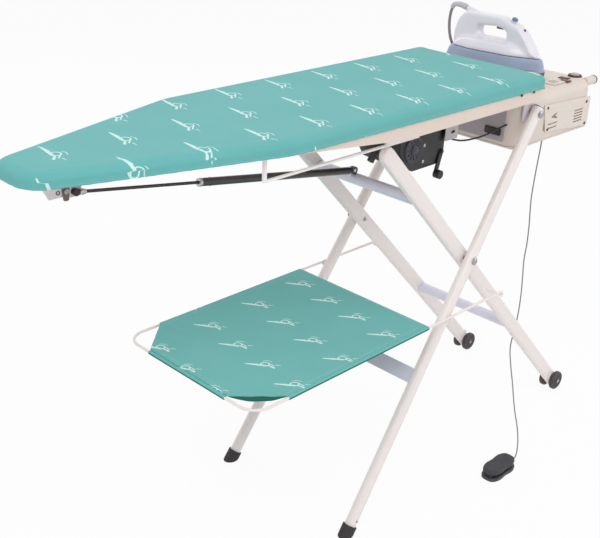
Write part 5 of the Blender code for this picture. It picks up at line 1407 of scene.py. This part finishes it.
steps_along, steps_across = 120, 72
work = bmesh.new()
layer = work.loops.layers.uv.new("cut")
grid = []
for row in range(steps_along + 1):
    x = cloth_low.x + (cloth_high.x - cloth_low.x) * row / steps_along
    half = sheet_half(x)
    line = []
    for column in range(steps_across + 1):
        across = 2 * column / steps_across - 1
        line.append(work.verts.new((x, half * across, sheet_height(x, across))))
    grid.append(line)
for row in range(steps_along):
    for column in range(steps_across):
        face = work.faces.new((grid[row][column], grid[row + 1][column], grid[row + 1][column + 1],
                               grid[row][column + 1]))
        for loop in face.loops:
            loop[layer].uv = loop.vert.co.xy
bmesh.ops.recalc_face_normals(work, faces=work.faces)
if work.faces[0].normal.z < 0:
    bmesh.ops.reverse_faces(work, faces=work.faces)
sheet_mesh = mesh_of("shelf_print", work)
shelf_print = piece_of("shelf_print", sheet_mesh, shelf_ink)
sheet_mesh.materials.append(lining_green)
thickened(shelf_print, 0.0014, under=1)
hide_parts("shelf_cloth")
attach(shelf_print, "shelf")

sleeves, sleeve_steps, sleeve_radius = [], 60, 0.0042
side_rear, side_front = cloth_high.x - 0.001, cloth_low.x + chamfer
front_x, front_half = cloth_low.x - shelf_wire, shelf_half - chamfer * 0.93
for name, begin, end in (("near", (side_rear, -shelf_half), (side_front, -shelf_half)),
                         ("far", (side_rear, shelf_half), (side_front, shelf_half)),
                         ("front", (front_x, -front_half), (front_x, front_half))):
    ends = [Vector((*begin, shelf_z)), Vector((*end, shelf_z))]
    line = [ends[0].lerp(ends[1], at / sleeve_steps) for at in range(sleeve_steps + 1)]
    sleeve = tube("shelf_sleeve_" + name, line, sleeve_radius, sleeve_teal, 14)
    sleeves.append(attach(sleeve, "shelf"))
hem_steps, hem_falls, hem_hang, hem_bow = 40, 4, 0.0115, 0.0016
for name, side in (("near", -1), ("far", 1)):
    work = bmesh.new()
    rows = []
    for at in range(hem_steps + 1):
        x = cloth_low.x + 0.001 + (chamfer - 0.002) * at / hem_steps
        hang = hem_hang * math.sin(math.pi * at / hem_steps) ** 0.8
        top = Vector((x, side * (sheet_half(x) - 0.0008), sheet_height(x, side) - 0.0012))
        falls = [Vector((hem_bow * math.sin(math.pi * fall / hem_falls), 0.0, -hang * fall / hem_falls))
                 for fall in range(hem_falls + 1)]
        rows.append([work.verts.new(top + fall) for fall in falls])
    for left, right in zip(rows, rows[1:]):
        for fall in range(hem_falls):
            work.faces.new((left[fall], right[fall], right[fall + 1], left[fall + 1]))
    hem_mesh = mesh_of("corner_hem_" + name, mended(work, 0.00001, 0.000001))
    hem = thickened(piece_of("corner_hem_" + name, hem_mesh, lining_green), 0.0010, 0.0)
    sleeves.append(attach(hem, "shelf"))

shelf_thread = yarn("shelf_thread", shade("B5E2DF"))
shelf_stitches, shelf_pitch, seam_steps, seam_inset = [], 0.0045, 120, 0.011
for name, side in (("near", -1), ("far", 1)):
    line = []
    for at in range(seam_steps + 1):
        x = side_front + 0.004 + (side_rear - 0.008 - side_front) * at / seam_steps
        across = side * (1 - seam_inset / sheet_half(x))
        line.append((x, across * sheet_half(x), sheet_height(x, across) + 0.0002))
    shelf_stitches.append(stitches("shelf_stitches_" + name, line, shelf_pitch, shelf_thread, "shelf"))
for name, x in (("front", cloth_low.x + 0.010), ("rear", cloth_high.x - 0.004)):
    half = sheet_half(x) - 0.012
    line = [(x, y, sheet_height(x, y / sheet_half(x)) + 0.0002)
            for y in (half * (2 * at / 100 - 1) for at in range(101))]
    shelf_stitches.append(stitches("shelf_stitches_" + name, line, shelf_pitch, shelf_thread, "shelf"))
sleeves + shelf_stitches


# ---------------------------------------------------------------------------------------------------
# Foot switch: black moulded base on the floor with a hinged, ribbed treadle, and a soft relief where
# its cable enters the heel.
# ---------------------------------------------------------------------------------------------------
pedal_black = coat("pedal_black", shade("353338"), shade("434147"), 0.48, 80.0, 1500.0, 0.00005)
pedal_grip = coat("pedal_grip", shade("2E2C31"), shade("3B393F"), 0.6, 90.0, 1700.0, 0.00008)
softened("pedal_base", "table", pedal_black, 0.0009, 4)
softened("pedal_treadle", "pedal_treadle", pedal_grip, 0.0009, 6)
treadle_low, treadle_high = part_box("pedal_treadle")
treadle_middle = (treadle_low + treadle_high) / 2
rib_count, rib_pitch = 6, 0.0062
tread_places = [(treadle_middle.x + 0.026 + rib_pitch * (at - rib_count / 2), treadle_middle.y,
                 treadle_high.z - 0.0004) for at in range(rib_count)]
grown("treadle_ribs", marks(tread_places, upwards, [math.pi / 2] * rib_count), hood_tree,
      {"Length": 0.024, "Width": 0.0026, "Height": 0.0010}, pedal_black, "pedal_treadle",
      True)
pedal_relief = [(0.0017, 0.0105), (0.0026, 0.0100), (0.0034, 0.0030), (0.0040, 0.0), (0.0040, -0.0030),
                (0.0017, -0.0030)]
spun("pedal_relief", pedal_relief, cable_end, (1, 0, 0), pedal_black, "table", 24, True)


# ---------------------------------------------------------------------------------------------------
# The cords' real lengths, each along its own path, with their first points and all their points.
# ---------------------------------------------------------------------------------------------------
tuple(hose_route[0])
run_of(hose_route)
[tuple(p) for p in hose_route]
tuple(cable_route[0])
run_of(cable_route)
[tuple(p) for p in cable_route]
tuple(lead_route[0])
run_of(lead_route)
[tuple(p) for p in lead_route]
